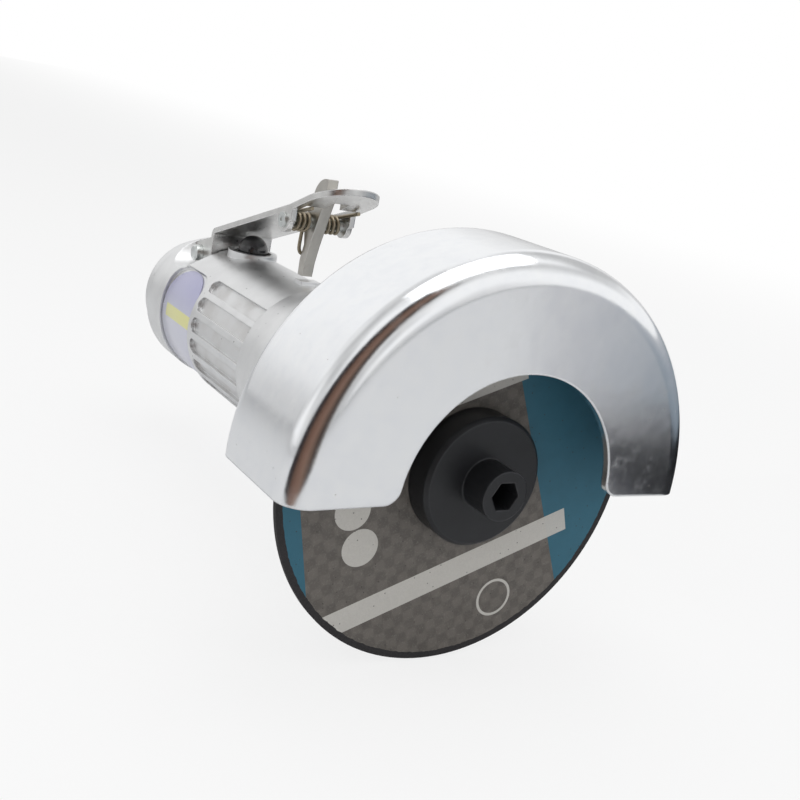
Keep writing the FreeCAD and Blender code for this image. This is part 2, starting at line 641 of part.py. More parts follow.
# One grip slot beside the top, copied round the underside to the other side.
slot = new_sketch(housing, "XY_Plane")
first_angle = "(180 - slot_step * (slot_count - 1) / 2)"
slot_plane = "(barrel_radius + 1)"
slot.AttachmentOffset = Placement(Vector(), Rotation(Vector(0, 1, 0), 1))
slot.setExpression("AttachmentOffset.Rotation.Angle", bound(first_angle))
slot.setExpression("AttachmentOffset.Base.x", bound("%s * sin(%s)" % (slot_plane, first_angle)))
slot.setExpression("AttachmentOffset.Base.z", bound("%s * cos(%s)" % (slot_plane, first_angle)))
outline(slot, [
    ("-slot_wide / 2", "slot_front"),
    ("slot_wide / 2", "slot_front"),
    ("slot_wide / 2", "slot_rear - slot_wide / 2", "Y", "slot_rear - slot_wide / 2"),
    ("-slot_wide / 2", "slot_rear - slot_wide / 2"),
])
slot_cut = pocket(housing, slot, "1 + slot_deep")
polar(housing, slot_cut, "Y_Axis", "slot_count", "slot_step * (slot_count - 1)")

# Valve bore from the boss, with the inlet passage behind it and the motor's feed in front.
bore = new_sketch(housing, "XY_Plane", lift="boss_top")
circle(bore, "0", "valve_depth", "valve_bore")
pocket(housing, bore, "boss_top + valve_floor")
passage = across_tool(housing, "inlet_seat")
circle(passage, "0", "-inlet_passage_drop", "inlet_passage")
pocket(housing, passage, "inlet_seat - valve_depth", reverse=True)
feed = across_tool(housing, motor_floor)
circle(feed, "0", "feed_up", "feed_radius")
pocket(housing, feed, "valve_depth - %s" % motor_floor)

# Exhaust passages from the motor to the rear face, and the hole of the locating pin.
exhaust = across_tool(housing, motor_floor)
for side in (1, -1):
    place = round_place("exhaust_circle", side)
    circle(exhaust, place[0], place[1], "exhaust_radius")
pocket(housing, exhaust, "housing_rear - %s" % motor_floor)
dowel_hole = across_tool(housing, motor_floor)
circle(dowel_hole, "dowel_across", "dowel_up", "dowel_radius + pack_play")
pocket(housing, dowel_hole, "dowel_reach")

# Slot for the lever's leg, pockets for its eyes and the hole of its pin.
leg_slot = new_sketch(housing, "XY_Plane", lift="barrel_radius + 1")
leg_slot_half = "(lever_half + leg_slot_rear_play)"
box_outline(leg_slot, "-%s" % leg_slot_half, "%s - leg_slot_play" % leg_front,
            leg_slot_half, "leg_rear + leg_slot_rear_play")
pocket(housing, leg_slot, "barrel_radius + 1 - leg_foot + leg_slot_drop")
eye_pocket = new_sketch(housing, "YZ_Plane", lift="tongue_half")
circle(eye_pocket, "pocket_depth", "pocket_up", "pocket_radius")
eye_cut = pocket(housing, eye_pocket, "barrel_radius", reverse=True)
mirror(housing, [eye_cut])
pin_hole = new_sketch(housing, "YZ_Plane")
circle(pin_hole, "pin_depth", "pin_up", "pin_radius + pack_play")
pocket(housing, pin_hole, "2 * barrel_radius", both_ways=True)

# Label: a thin band in the recess.
label = new_body("label_band")
label_floor = "(%s + pack_play)" % recess_floor
turn(label, [
    ("label_front + label_margin", "-%s" % label_floor),
    ("label_front + label_margin", "-%s - label_thick" % label_floor),
    ("label_rear - label_margin", "-%s - label_thick" % label_floor),
    ("label_rear - label_margin", "-%s" % label_floor),
], sweep="label_sweep - 2 * label_margin / barrel_radius * 180 / pi", lengthwise=True)
dress(label, "Fillet", "label_rounding",
      lambda edge: isinstance(edge.Curve, Part.Line) and edge.Length < 2 * size("label_thick"))

# Motor: liner, rotor, vanes, end plates and bearings.
liner = new_body("cylinder_liner")
liner_ring = across_tool(liner, liner_front)
circle(liner_ring, "0", "0", pack_radius)
circle(liner_ring, "0", "-liner_offset", "liner_bore")
pad(liner, liner_ring, "liner_long", reverse=True)


def exhaust_flats(body, start, length):
    """Flats on the outside of a round piece that let the exhaust air pass."""
    sketch = across_tool(body, start)
    for side in (1, -1):
        corners = []
        for distance, across in (("exhaust_flat", -1), ("exhaust_flat", 1),
                                 ("motor_bore + 1", 1), ("motor_bore + 1", -1)):
            swing = "%d * motor_bore / 2" % across
            corners.append((
                "%d * ((%s) * sin(exhaust_angle) + %s * cos(exhaust_angle))" % (side, distance, swing),
                "(%s) * cos(exhaust_angle) - %s * sin(exhaust_angle)" % (distance, swing)))
        outline(sketch, corners)
    pocket(body, sketch, length)


exhaust_flats(liner, liner_front, "liner_long")
ports = new_sketch(liner, "XY_Plane")
for side in (1, -1):
    for step in (-1, 0, 1):
        circle(ports, round_place("exhaust_circle", side)[0],
               "%s + liner_long / 2 + %d * exhaust_port_step" % (liner_front, step), "exhaust_port")
pocket(liner, ports, "motor_bore")
liner_dowel = across_tool(liner, liner_rear)
circle(liner_dowel, "dowel_across", "dowel_up", "dowel_radius + pack_play")
pocket(liner, liner_dowel, "dowel_reach", reverse=True)

rotor = new_body("rotor_shaft")
turn(rotor, [
    ("0", "screw_reach + 1"),
    ("screw_thread + pack_play", "screw_reach + 1"),
    ("screw_thread + pack_play", "spindle_nose_front"),
    ("spindle_nose", "spindle_nose_front"),
    ("spindle_nose", hub_end),
    ("front_journal", hub_end),
    ("front_journal", rotor_front),
    ("rotor_radius", rotor_front),
    ("rotor_radius", rotor_rear),
    ("rear_journal", rotor_rear),
    ("rear_journal", rear_seat_end),
    ("0", rear_seat_end),
])
vane_slot = across_tool(rotor, rotor_front)
box_outline(vane_slot, "-vane_thick / 2 - vane_play", "vane_root - vane_play",
            "vane_thick / 2 + vane_play", "rotor_radius + 1")
vane_cut = pocket(rotor, vane_slot, "%s - %s" % (rotor_rear, rotor_front))
polar(rotor, vane_cut, "Y_Axis", "vane_count")

vanes = doc.addObject("Part::Feature", "rotor_vanes")
vane_long = size("%s - %s" % (rotor_rear, rotor_front))
vane_high = size("rotor_radius - vane_root")
one_vane = Part.makeBox(size("vane_thick"), vane_long, vane_high,
                        Vector(-size("vane_thick") / 2, size(rotor_front), size("vane_root")))
vane_list = []
for i in range(int(size("vane_count"))):
    copy = one_vane.copy()
    copy.rotate(Vector(0, 0, 0), Vector(0, 1, 0), 360 * i / size("vane_count"))
    vane_list.append(copy)
vanes.Shape = Part.makeCompound(vane_list)
vanes.setExpression("Placement.Base.y", bound("-inlet_mouth"))

front_plate = turned_piece("front_end_plate", [
    ("front_journal + web_play", front_seat_end),
    ("front_bearing_radius + pack_play", front_seat_end),
    ("front_bearing_radius + pack_play", pack_front),
    (pack_radius, pack_front),
    (pack_radius, liner_front),
    ("front_journal + web_play", liner_front),
])
rear_plate = turned_piece("rear_end_plate", [
    ("rear_journal + web_play", liner_rear),
    (pack_radius, liner_rear),
    (pack_radius, rear_seat_end),
    ("rear_bearing_radius + pack_play", rear_seat_end),
    ("rear_bearing_radius + pack_play", rear_seat_front),
    ("rear_journal + web_play", rear_seat_front),
])
exhaust_flats(rear_plate, liner_rear, "%s - %s" % (rear_seat_end, liner_rear))
plate_holes = across_tool(rear_plate, liner_rear)
circle(plate_holes, "dowel_across", "dowel_up", "dowel_radius + pack_play")
circle(plate_holes, "0", "feed_plate_up", "feed_radius")
pocket(rear_plate, plate_holes, "%s - %s" % (rear_seat_end, liner_rear))

for name, journal, radius, start, end in (
        ("front", "front_journal", "front_bearing_radius", pack_front, front_seat_end),
        ("rear", "rear_journal", "rear_bearing_radius", rear_seat_front, rear_seat_end)):
    inner_radius = "%s + race_wall" % journal
    turned_piece(name + "_bearing_outer_ring",
                 tube(inner_radius + " + race_gap", radius, start, end))
    turned_piece(name + "_bearing_inner_ring",
                 tube(journal + " + pack_play", inner_radius, start, end))

turned_piece("preload_washer", [
    ("rear_bearing_radius - 0.1", rear_seat_end),
    ("rear_bearing_radius - 0.1", "%s + washer_thick" % rear_seat_end),
    ("rear_bearing_radius - 3", motor_floor),
    ("rear_bearing_radius - 3", "%s - washer_thick" % motor_floor),
])
turned_piece("locating_pin", tube("0", "dowel_radius", "-dowel_reach",
                                  "%s - %s + dowel_reach" % (motor_floor, liner_rear)),
             base=(liner_rear, "dowel_up")).setExpression("Placement.Base.x", bound("dowel_across"))

# Clamp nut: holds the guard's back plate and the motor in the housing, and carries the dust seal.
seal_front = "(%s - seal_thick - running_play)" % pack_front
nut = turned_piece("clamp_nut", [
    ("nut_bore", nut_front),
    ("nut_flange_radius", nut_front),
    ("nut_flange_radius", nut_flange_rear),
    (pack_radius, nut_flange_rear),
    (pack_radius, pack_front),
    ("seal_radius + pack_play", pack_front),
    ("seal_radius + pack_play", seal_front),
    ("nut_bore", seal_front),
])
spanner_hole = across_tool(nut, nut_front)
circle(spanner_hole, "0", "nut_hole_circle", "nut_hole")
spanner_cut = pocket(nut, spanner_hole, "nut_hole_deep")
polar(nut, spanner_cut, "Y_Axis", "4")
turned_piece("dust_seal", tube("front_journal + running_play", "seal_radius", seal_front,
                               "%s + seal_thick" % seal_front))

# Cutting wheel between the inner flange and the wheel screw.
turned_piece("inner_flange", [
    ("spindle_nose + pack_play", "wheel_thick"),
    ("screw_flange_radius", "wheel_thick"),
    ("screw_flange_radius", flange_rear),
    ("flange_hub_radius", flange_rear),
    ("flange_hub_radius", hub_end),
    ("spindle_nose + pack_play", hub_end),
])
turned_piece("cutting_wheel", tube("wheel_bore", "wheel_radius", "0", "wheel_thick"))
screw = turned_piece("wheel_screw", [
    ("0", "-screw_boss_front"),
    ("screw_boss_radius", "-screw_boss_front"),
    ("screw_boss_radius", "-screw_flange_thick"),
    ("screw_flange_radius - screw_flange_taper", "-screw_flange_thick"),
    ("screw_flange_radius", "-screw_flange_thick + screw_flange_taper"),
    ("screw_flange_radius", "0"),
    ("wheel_bore - running_play", "0"),
    ("wheel_bore - running_play", "screw_pilot"),
    ("screw_thread", "screw_pilot"),
    ("screw_thread", "screw_reach"),
    ("0", "screw_reach"),
])
socket = across_tool(screw, "-screw_boss_front")
hexagon(socket, "screw_socket")
pocket(screw, socket, "screw_socket_deep")

# Guard: front wall, rim and back plate of one sheet, with a ring round the clamp nut.
guard = new_body("wheel_guard")
inner_rim = "(guard_radius - guard_sheet)"
turn(guard, [
    ("-guard_front", "guard_cutout"),
    ("-guard_front + guard_sheet", "guard_cutout"),
    ("-guard_front + guard_sheet", inner_rim),
    ("guard_back - guard_sheet", inner_rim),
    ("guard_back - guard_sheet", "guard_hole"),
    ("guard_back", "guard_hole"),
    ("guard_back", "guard_radius"),
    ("-guard_front", "guard_radius"),
], sweep="guard_sweep", lengthwise=True)
dress(guard, "Fillet", "guard_front_bend", ring_at("guard_radius", "-guard_front"))
dress(guard, "Fillet", "guard_front_bend - guard_sheet",
      ring_at(inner_rim, "-guard_front + guard_sheet"))
dress(guard, "Fillet", "guard_back_bend", ring_at("guard_radius", "guard_back"))
dress(guard, "Fillet", "guard_back_bend - guard_sheet",
      ring_at(inner_rim, "guard_back - guard_sheet"))
dress(guard, "Fillet", "guard_corner",
      straight_along(Vector(0, 1, 0), lambda spot: spot.y < -size("guard_front - guard_sheet")
                     and abs(abs(spot.x) - size("guard_cutout")) < 1))
lobe = across_tool(guard, "guard_back - guard_sheet")
circle(lobe, "0", "0", "guard_lobe")
pad(guard, lobe, "guard_sheet", reverse=True)
ring_hole = across_tool(guard, "guard_back - guard_sheet")
circle(ring_hole, "0", "0", "guard_hole")
pocket(guard, ring_hole, "guard_sheet")

# Throttle valve: bushing with the seat, stem with a rubber-faced head, button and spring.
valve_base = ("valve_depth", "0")
bushing = turned_piece("valve_bushing", [
    ("bushing_room", "bushing_foot"),
    ("valve_bore - pack_play", "bushing_foot"),
    ("valve_bore - pack_play", "bushing_top"),
    ("stem_radius + running_play", "bushing_top"),
    ("stem_radius + running_play", "bushing_top - bushing_guide"),
    ("bushing_room", "bushing_top - bushing_guide"),
], axis="Z", base=valve_base)
bushing_port = new_sketch(bushing, "XY_Plane")
circle(bushing_port, "0", "feed_up", "feed_radius")
pocket(bushing, bushing_port, "valve_bore + 1", reverse=True)
head_top = "(bushing_foot - facing_thick - pack_play)"
head_foot = "(%s - poppet_thick)" % head_top
stem_top = "(button_top - button_cap)"
turned_piece("valve_stem", [
    ("0", head_foot),
    ("poppet_radius", head_foot),
    ("poppet_radius", head_top),
    ("stem_radius", head_top),
    ("stem_radius", stem_top),
    ("0", stem_top),
], axis="Z", base=valve_base)
turned_piece("valve_face", tube("stem_radius + pack_play", "poppet_radius", head_top,
                                "%s + facing_thick" % head_top), axis="Z", base=valve_base)
turned_piece("valve_button", [
    ("0", "%s + pack_play" % stem_top),
    ("stem_radius + pack_play", "%s + pack_play" % stem_top),
    ("stem_radius + pack_play", "button_foot"),
    ("button_radius", "button_foot"),
    ("button_radius", "button_shoulder", "X", "0"),
    ("0", "button_top"),
], axis="Z", base=valve_base)

# Air inlet: bushing, screen and the exhaust deflector that turns on the bushing's neck.
thread_end = "(inlet_mouth - inlet_thread_long)"
screen_rear = "(inlet_mouth - inlet_thread_long - inlet_relief_long)"
screen_start = "(inlet_mouth - inlet_thread_long - inlet_relief_long - screen_thick)"
inlet = turned_piece("inlet_bushing", [
    ("inlet_passage", "inlet_seat + pack_play"),
    ("inlet_bore - pack_play", "inlet_seat + pack_play"),
    ("inlet_bore - pack_play", "housing_rear"),
    ("inlet_neck", "housing_rear"),
    ("inlet_neck", hex_front),
    ("inlet_hex / 2", hex_front),
    ("inlet_hex / 2", "inlet_mouth"),
    ("inlet_thread", "inlet_mouth"),
    ("inlet_thread", thread_end),
    ("inlet_relief", thread_end),
    ("inlet_relief", screen_rear),
    ("screen_pocket", screen_rear),
    ("screen_pocket", screen_start),
    ("inlet_passage", screen_start),
])
hex_head = across_tool(inlet, hex_front)
hexagon(hex_head, "inlet_hex")
circle(hex_head, "0", "0", "inlet_thread")
pad(inlet, hex_head, "inlet_hex_long", reverse=True)
inlet_screen = turned_piece("inlet_screen", tube(
    "0", "screen_pocket - pack_play", screen_start, screen_rear))
screen_middle = across_tool(inlet_screen, screen_start)
circle(screen_middle, "0", "0", "screen_hole")
pocket(inlet_screen, screen_middle, "screen_thick")
screen_outer = across_tool(inlet_screen, screen_start)
circle(screen_outer, "0", "screen_circle", "screen_hole")
screen_cut = pocket(inlet_screen, screen_outer, "screen_thick")
polar(inlet_screen, screen_cut, "Y_Axis", "6")

deflector_front = "(housing_rear + deflector_gap)"
deflector_rear = "(%s - deflector_gap)" % hex_front
deflector_bore = "(inlet_neck + deflector_gap)"
deflector = turned_piece("exhaust_deflector", [
    (deflector_bore, deflector_front),
    ("%s + deflector_wall" % deflector_bore, deflector_front),
    ("%s + deflector_wall" % deflector_bore, "%s - deflector_wall" % deflector_rear),
    ("deflector_radius - deflector_wall", "%s - deflector_wall" % deflector_rear),
    ("deflector_radius - deflector_wall", deflector_front),
    ("deflector_radius", deflector_front),
    ("deflector_radius", deflector_rear),
    (deflector_bore, deflector_rear),
])
deflector_hole = new_sketch(deflector, "XY_Plane", lift="deflector_radius + 1")
circle(deflector_hole, "0", "(%s + %s - deflector_wall) / 2" % (deflector_front, deflector_rear),
       "deflector_port")
deflector_cut = pocket(deflector, deflector_hole, "deflector_wall + 2")
polar(deflector, deflector_cut, "Y_Axis", "deflector_ports")

# Throttle lever: leg, web and paddle of one sheet, with ears for its pin and for the latch.
lever = new_body("throttle_lever")
paddle_top = "(%s + (paddle_start - paddle_tip) * paddle_rise)" % web_top("paddle_start")
side_view = new_sketch(lever, "YZ_Plane")
outline(side_view, [
    (leg_front, "leg_foot"),
    ("leg_rear", "leg_foot"),
    ("leg_rear", web_top("leg_rear")),
    ("paddle_start", web_top("paddle_start")),
    ("paddle_tip", paddle_top),
    ("paddle_tip", "%s - %s" % (paddle_top, paddle_drop)),
    ("paddle_start", "%s - %s" % (web_top("paddle_start"), web_drop)),
    (leg_front, "%s - %s" % (web_top(leg_front), web_drop)),
])
pad(lever, side_view, "2 * lever_half", both_ways=True)
dress(lever, "Fillet", "lever_bend", straight_along(
    Vector(1, 0, 0), lambda spot: spot.y > size("leg_rear") - 0.01
    and spot.z > size("web_start") - 0.01))
dress(lever, "Fillet", "lever_bend - lever_sheet", straight_along(
    Vector(1, 0, 0), lambda spot: abs(spot.y - size(leg_front)) < 0.01
    and spot.z > size("leg_foot") + 1))
round_start = "(paddle_tip + lever_half)"
paddle_end = new_sketch(lever, "XY_Plane", lift=paddle_top)
outline(paddle_end, [
    ("-lever_half - 1", "paddle_tip - 1"),
    ("lever_half + 1", "paddle_tip - 1"),
    ("lever_half + 1", round_start),
    ("lever_half", round_start, "Y", round_start, "inward"),
    ("-lever_half", round_start),
    ("-lever_half - 1", round_start),
])
pocket(lever, paddle_end, "%s - leg_foot" % paddle_top)
window = new_sketch(lever, "XY_Plane", lift=paddle_top)
outline(window, [
    ("-window_half", "window_front"),
    ("-tab_slot_half", "window_front"),
    ("-tab_slot_half", "tab_slot_front"),
    ("tab_slot_half", "tab_slot_front"),
    ("tab_slot_half", "window_front"),
    ("window_half", "window_front"),
    ("window_half", "window_rear"),
    ("-window_half", "window_rear"),
])
pocket(lever, window, "%s - leg_foot" % paddle_top)

ear_front = "(latch_pin_depth - latch_ear_front)"
ear_rear = "(latch_pin_depth + latch_ear_rear)"
ear_lift = "(latch_pin_up - latch_pin_radius / 2)"
front_ear = new_sketch(lever, "YZ_Plane", lift=eye_inner)
outline(front_ear, [
    (ear_front, "%s + 1" % ear_lift),
    ("latch_pin_depth - latch_eye", "latch_pin_up", "Y", "latch_pin_up"),
    ("latch_pin_depth + latch_eye", "latch_pin_up"),
    (ear_rear, "%s - %s" % (web_top(ear_rear), web_drop)),
    (ear_rear, "%s - %s / 2" % (web_top(ear_rear), web_drop)),
    ("paddle_start", "%s - %s / 2" % (web_top("paddle_start"), web_drop)),
    (ear_front, "%s + (paddle_start - %s) * paddle_rise - %s / 2" % (
        web_top("paddle_start"), ear_front, paddle_drop)),
])
front_pad = pad(lever, front_ear, "lever_sheet")
rear_ear = new_sketch(lever, "YZ_Plane", lift=eye_inner)
outline(rear_ear, [
    (leg_front, "leg_foot"),
    ("pin_depth", "pin_up - pin_eye", "X", "pin_depth"),
    ("pin_depth", "pin_up + pin_eye"),
    ("leg_rear", "%s - lever_bend" % web_top("leg_rear")),
    (leg_front, "%s - lever_bend" % web_top("leg_rear")),
])
rear_pad = pad(lever, rear_ear, "lever_sheet")
mirror(lever, [front_pad, rear_pad])
for depth, height, radius in (("latch_pin_depth", "latch_pin_up", "latch_pin_radius + pack_play"),
                              ("pin_depth", "pin_up", "pin_radius + running_play")):
    eye_hole = new_sketch(lever, "YZ_Plane")
    circle(eye_hole, depth, height, radius)
    pocket(lever, eye_hole, "4 * lever_half", both_ways=True)

turned_piece("lever_pin", [
    ("0", "-pin_half"),
    ("pin_radius - pin_chamfer", "-pin_half"),
    ("pin_radius", "-pin_half + pin_chamfer"),
    ("pin_radius", "pin_half - pin_chamfer"),
    ("pin_radius - pin_chamfer", "pin_half"),
    ("0", "pin_half"),
], axis="X", base=("pin_depth", "pin_up"))

# Safety latch: a flat plate on its own pin, with a tab above the lever and a foot over the stop.
latch = new_body("safety_latch")
latch_view = new_sketch(latch, "YZ_Plane")
foot_front = "(latch_pin_depth - 0.1)"
foot_rear = "(%s + latch_foot_wide)" % foot_front
tab_rear_depth = "(latch_pin_depth + tab_rear)"
outline(latch_view, [
    (foot_front, "latch_foot"),
    (foot_rear, "latch_foot"),
    ("%s + 0.2" % foot_rear, "latch_foot + latch_calf"),
    ("%s - 0.7" % foot_rear, "latch_waist"),
    ("latch_pin_depth + latch_hub", "latch_pin_up", "Y", "latch_pin_up"),
    (tab_rear_depth, "latch_pin_up + sqrt(latch_hub * latch_hub - tab_rear * tab_rear)"),
    (tab_rear_depth, "tab_top - tab_round", "Y", "tab_top - tab_round"),
    ("%s - tab_round" % tab_rear_depth, "tab_top"),
    ("latch_pin_depth - tab_front", "tab_top"),
    ("latch_pin_depth - tab_front", "latch_pin_up + 2 * latch_hub"),
    ("latch_pin_depth - latch_hub", "latch_pin_up"),
    ("%s - 1.2" % foot_front, "latch_waist"),
    ("%s - 0.3" % foot_front, "latch_foot + latch_calf"),
])
pad(latch, latch_view, "2 * latch_half", both_ways=True)
latch_hole = new_sketch(latch, "YZ_Plane")
circle(latch_hole, "latch_pin_depth", "latch_pin_up", "latch_pin_radius + running_play")
pocket(latch, latch_hole, "4 * latch_half", both_ways=True)

head_inner = "(lever_half + pack_play)"
head_outer = "(%s + latch_head_thick)" % head_inner
turned_piece("latch_pin", [
    ("0", "-%s + latch_head_thick / 2" % head_outer),
    ("latch_dimple", "-%s + latch_head_thick / 2" % head_outer),
    ("latch_dimple", "-%s" % head_outer),
    ("latch_head", "-%s" % head_outer),
    ("latch_head", "-%s" % head_inner),
    ("latch_pin_radius", "-%s" % head_inner),
    ("latch_pin_radius", head_inner),
    ("latch_head", head_inner),
    ("latch_head", head_outer),
    ("latch_dimple", head_outer),
    ("latch_dimple", "%s - latch_head_thick / 2" % head_outer),
    ("0", "%s - latch_head_thick / 2" % head_outer),
], axis="X", base=("latch_pin_depth", "latch_pin_up"))


def arc_from(start, direction, end):
    """The arc from start, where it runs in a direction, to end."""
    chord = end - start
    side = chord - direction * chord.dot(direction)
    if side.Length < 1e-6 * chord.Length:
        return Part.LineSegment(start, end).toShape()
    side.normalize()
    radius = chord.dot(chord) / (2 * chord.dot(side))
    centre = start + side * radius
    towards = (start + end) / 2 - centre
    towards.normalize()
    return Part.Arc(start, centre + towards * radius, end).toShape()


def biarc(start, start_way, end, end_way):
    """Two arcs that join two stations, each running in its own direction there."""
    chord = end - start
    ways = start_way + end_way
    bend = 2 * (1 - start_way.dot(end_way))
    along = chord.dot(ways)
    if bend < 1e-9:
        return [Part.LineSegment(start, end).toShape()]
    reach = (math.sqrt(along * along + bend * chord.dot(chord)) - along) / bend
    joint = (start + end + (start_way - end_way) * reach) / 2
    first = arc_from(start, start_way, joint)
    second = arc_from(end, end_way * -1, joint)
    return [first, second]


def wound_wire(label, stations, radius):
    """One unbroken wire through stations, each a point and the direction there."""
    edges = []
    for (start, start_way), (end, end_way) in zip(stations, stations[1:]):
        edges.extend(biarc(start, start_way, end, end_way))
    path = Part.Wire(Part.__sortEdges__(edges))
    section = Part.Wire([Part.Circle(stations[0][0], stations[0][1], radius).toShape()])
    shell = Part.BRepOffsetAPI.MakePipeShell(path)
    shell.add(section)
    shell.build()
    shell.makeSolid()
    wire = doc.addObject("Part::Feature", label)
    wire.Shape = shell.shape()
    wire.setExpression("Placement.Base.y", bound("-inlet_mouth"))
    print("%s: length %.2f mm, volume %.3f of %.3f mm3, least gap to itself %.2f mm" % (
        label, path.Length, wire.Shape.Volume, path.Length * math.pi * radius ** 2,
        least_gap(edges, radius)))
    return wire


def least_gap(edges, radius):
    """The least gap between stretches of the wire that lie over three diameters apart on it."""
    step = radius / 2
    spots = []
    walked = 0
    for edge in edges:
        count = max(2, int(edge.Length / step))
        ends = [edge.valueAt(edge.FirstParameter), edge.valueAt(edge.LastParameter)]
        places = [edge.valueAt(edge.FirstParameter + (edge.LastParameter - edge.FirstParameter)
                               * i / count) for i in range(count + 1)]
        if spots and (ends[0] - spots[-1][1]).Length > (ends[1] - spots[-1][1]).Length:
            places.reverse()
        for i, place in enumerate(places):
            spots.append((walked + edge.Length * i / count, place))
        walked += edge.Length
    gap = walked
    for i, (here, spot) in enumerate(spots):
        for there, other in spots[i + 1:]:
            if there - here > 6 * radius:
                gap = min(gap, (spot - other).Length - 2 * radius)
    return gap


# Valve spring: a plain coil between the floor of the valve bore and the valve head.
valve_low = -size("valve_floor") + size("valve_wire") + 0.05
valve_high = size(head_foot) - size("valve_wire") - 0.05
halves = int(size("valve_turns")) * 2
valve_stations = []
for i in range(halves + 1):
    angle = math.pi * i
    radius = size("valve_coil")
    spot = Vector(radius * math.cos(angle), size("valve_depth") + radius * math.sin(angle),
                  valve_low + (valve_high - valve_low) * i / halves)
    climb = (valve_high - valve_low) / halves / math.pi
    way = Vector(-radius * math.sin(angle), radius * math.cos(angle), climb)
    way.normalize()
    valve_stations.append((spot, way))
wound_wire("valve_spring", valve_stations, size("valve_wire"))

# Latch spring: two coils on the latch's pin, joined by a loop behind the latch's leg, with an
# arm at each outer end that presses up under the paddle.
pin_spot = Vector(0, size("latch_pin_depth"), size("latch_pin_up"))
curl = size("coil_radius")
inner = size("coil_inner")
loop_distance = size("sqrt(loop_rear * loop_rear + loop_drop * loop_drop)")
start_angle = math.atan2(-size("loop_drop"), size("loop_rear")) + math.acos(curl / loop_distance)
down = Vector(0, math.sin(start_angle), -math.cos(start_angle))
loop_tip = pin_spot + Vector(0, size("loop_rear"), -size("loop_drop"))
arm_angle = math.atan2(1, size("arm_rise"))
sweep = arm_angle - start_angle + 2 * math.pi * size("coil_turns")
steps = math.ceil(sweep / math.pi)
right_side = [(loop_tip - down * inner + Vector(inner, 0, 0), down * -1)]
for i in range(steps + 1):
    angle = start_angle + sweep * i / steps
    spot = pin_spot + Vector(inner + size("coil_pitch") * sweep * i / steps / (2 * math.pi),
                             curl * math.cos(angle), curl * math.sin(angle))
    drift = 0 if i in (0, steps) else size("coil_pitch") / (2 * math.pi)
    way = Vector(drift, -curl * math.sin(angle), curl * math.cos(angle))
    way.normalize()
    right_side.append((spot, way))
right_side.append((right_side[-1][0] + right_side[-1][1] * size("arm_long"), right_side[-1][1]))
left_side = [(Vector(-spot.x, spot.y, spot.z), Vector(way.x, -way.y, -way.z))
             for spot, way in reversed(right_side)]
wound_wire("latch_spring", left_side + [(loop_tip, Vector(1, 0, 0))] + right_side,
           size("wire_radius"))

doc.recompute()
os.makedirs("parts", exist_ok=True)
pieces = [item for item in doc.Objects if item.TypeId in ("PartDesign::Body", "Part::Feature")
          and not item.getParentGeoFeatureGroup()]
for item in doc.Objects:
    if "Invalid" in item.State or "Error" in item.State:
        raise RuntimeError("%s is in state %s" % (item.Name, item.State))
for piece in pieces:
    if piece.Shape.isNull() or not piece.Shape.isValid() or not piece.Shape.Solids:
        raise RuntimeError("%s has no valid solid" % piece.Label)
for piece in pieces:
    piece.Shape.exportStep("parts/%s.step" % piece.Label)
print("%d sub-parts written" % len(pieces))
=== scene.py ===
import math

import bpy
from mathutils import Matrix, Vector


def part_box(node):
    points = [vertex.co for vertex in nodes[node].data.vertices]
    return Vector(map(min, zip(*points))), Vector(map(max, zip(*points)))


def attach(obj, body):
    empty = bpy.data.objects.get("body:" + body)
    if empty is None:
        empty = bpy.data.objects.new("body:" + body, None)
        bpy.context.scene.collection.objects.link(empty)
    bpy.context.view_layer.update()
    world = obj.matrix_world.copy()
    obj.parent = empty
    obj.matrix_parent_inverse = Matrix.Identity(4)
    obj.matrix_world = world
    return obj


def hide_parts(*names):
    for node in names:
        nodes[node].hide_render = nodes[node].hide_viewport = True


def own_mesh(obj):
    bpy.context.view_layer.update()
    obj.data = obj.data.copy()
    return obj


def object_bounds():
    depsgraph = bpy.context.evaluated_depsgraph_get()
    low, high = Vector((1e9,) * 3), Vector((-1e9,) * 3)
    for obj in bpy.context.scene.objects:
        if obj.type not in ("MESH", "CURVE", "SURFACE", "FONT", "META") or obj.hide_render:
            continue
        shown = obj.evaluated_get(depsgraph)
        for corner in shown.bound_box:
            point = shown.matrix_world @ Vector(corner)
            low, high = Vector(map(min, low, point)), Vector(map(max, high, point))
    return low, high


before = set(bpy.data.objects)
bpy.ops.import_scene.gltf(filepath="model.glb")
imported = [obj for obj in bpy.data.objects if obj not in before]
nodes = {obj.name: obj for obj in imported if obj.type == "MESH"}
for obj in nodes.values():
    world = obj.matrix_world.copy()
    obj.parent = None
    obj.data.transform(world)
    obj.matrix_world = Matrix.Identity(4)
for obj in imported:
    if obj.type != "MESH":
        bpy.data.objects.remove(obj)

# Air cut off tool: looks, floor, light and camera. Blender's lengths are metres, and the look
# dictionaries of the tool's own pieces are in mm. The wheel turns about Y.
mm = 0.001
wheelFace = -0.142                    # the wheel's front face, on Y
cadBox = [list(corner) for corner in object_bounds()]
bpy.ops.object.select_all(action="DESELECT")


def fromWheel(depth):                 # mm behind the wheel's front face, as a place on Y
    return wheelFace + depth * mm


# Shader writing: a Wire is one output of a material, and plain arithmetic on Wires adds Math nodes

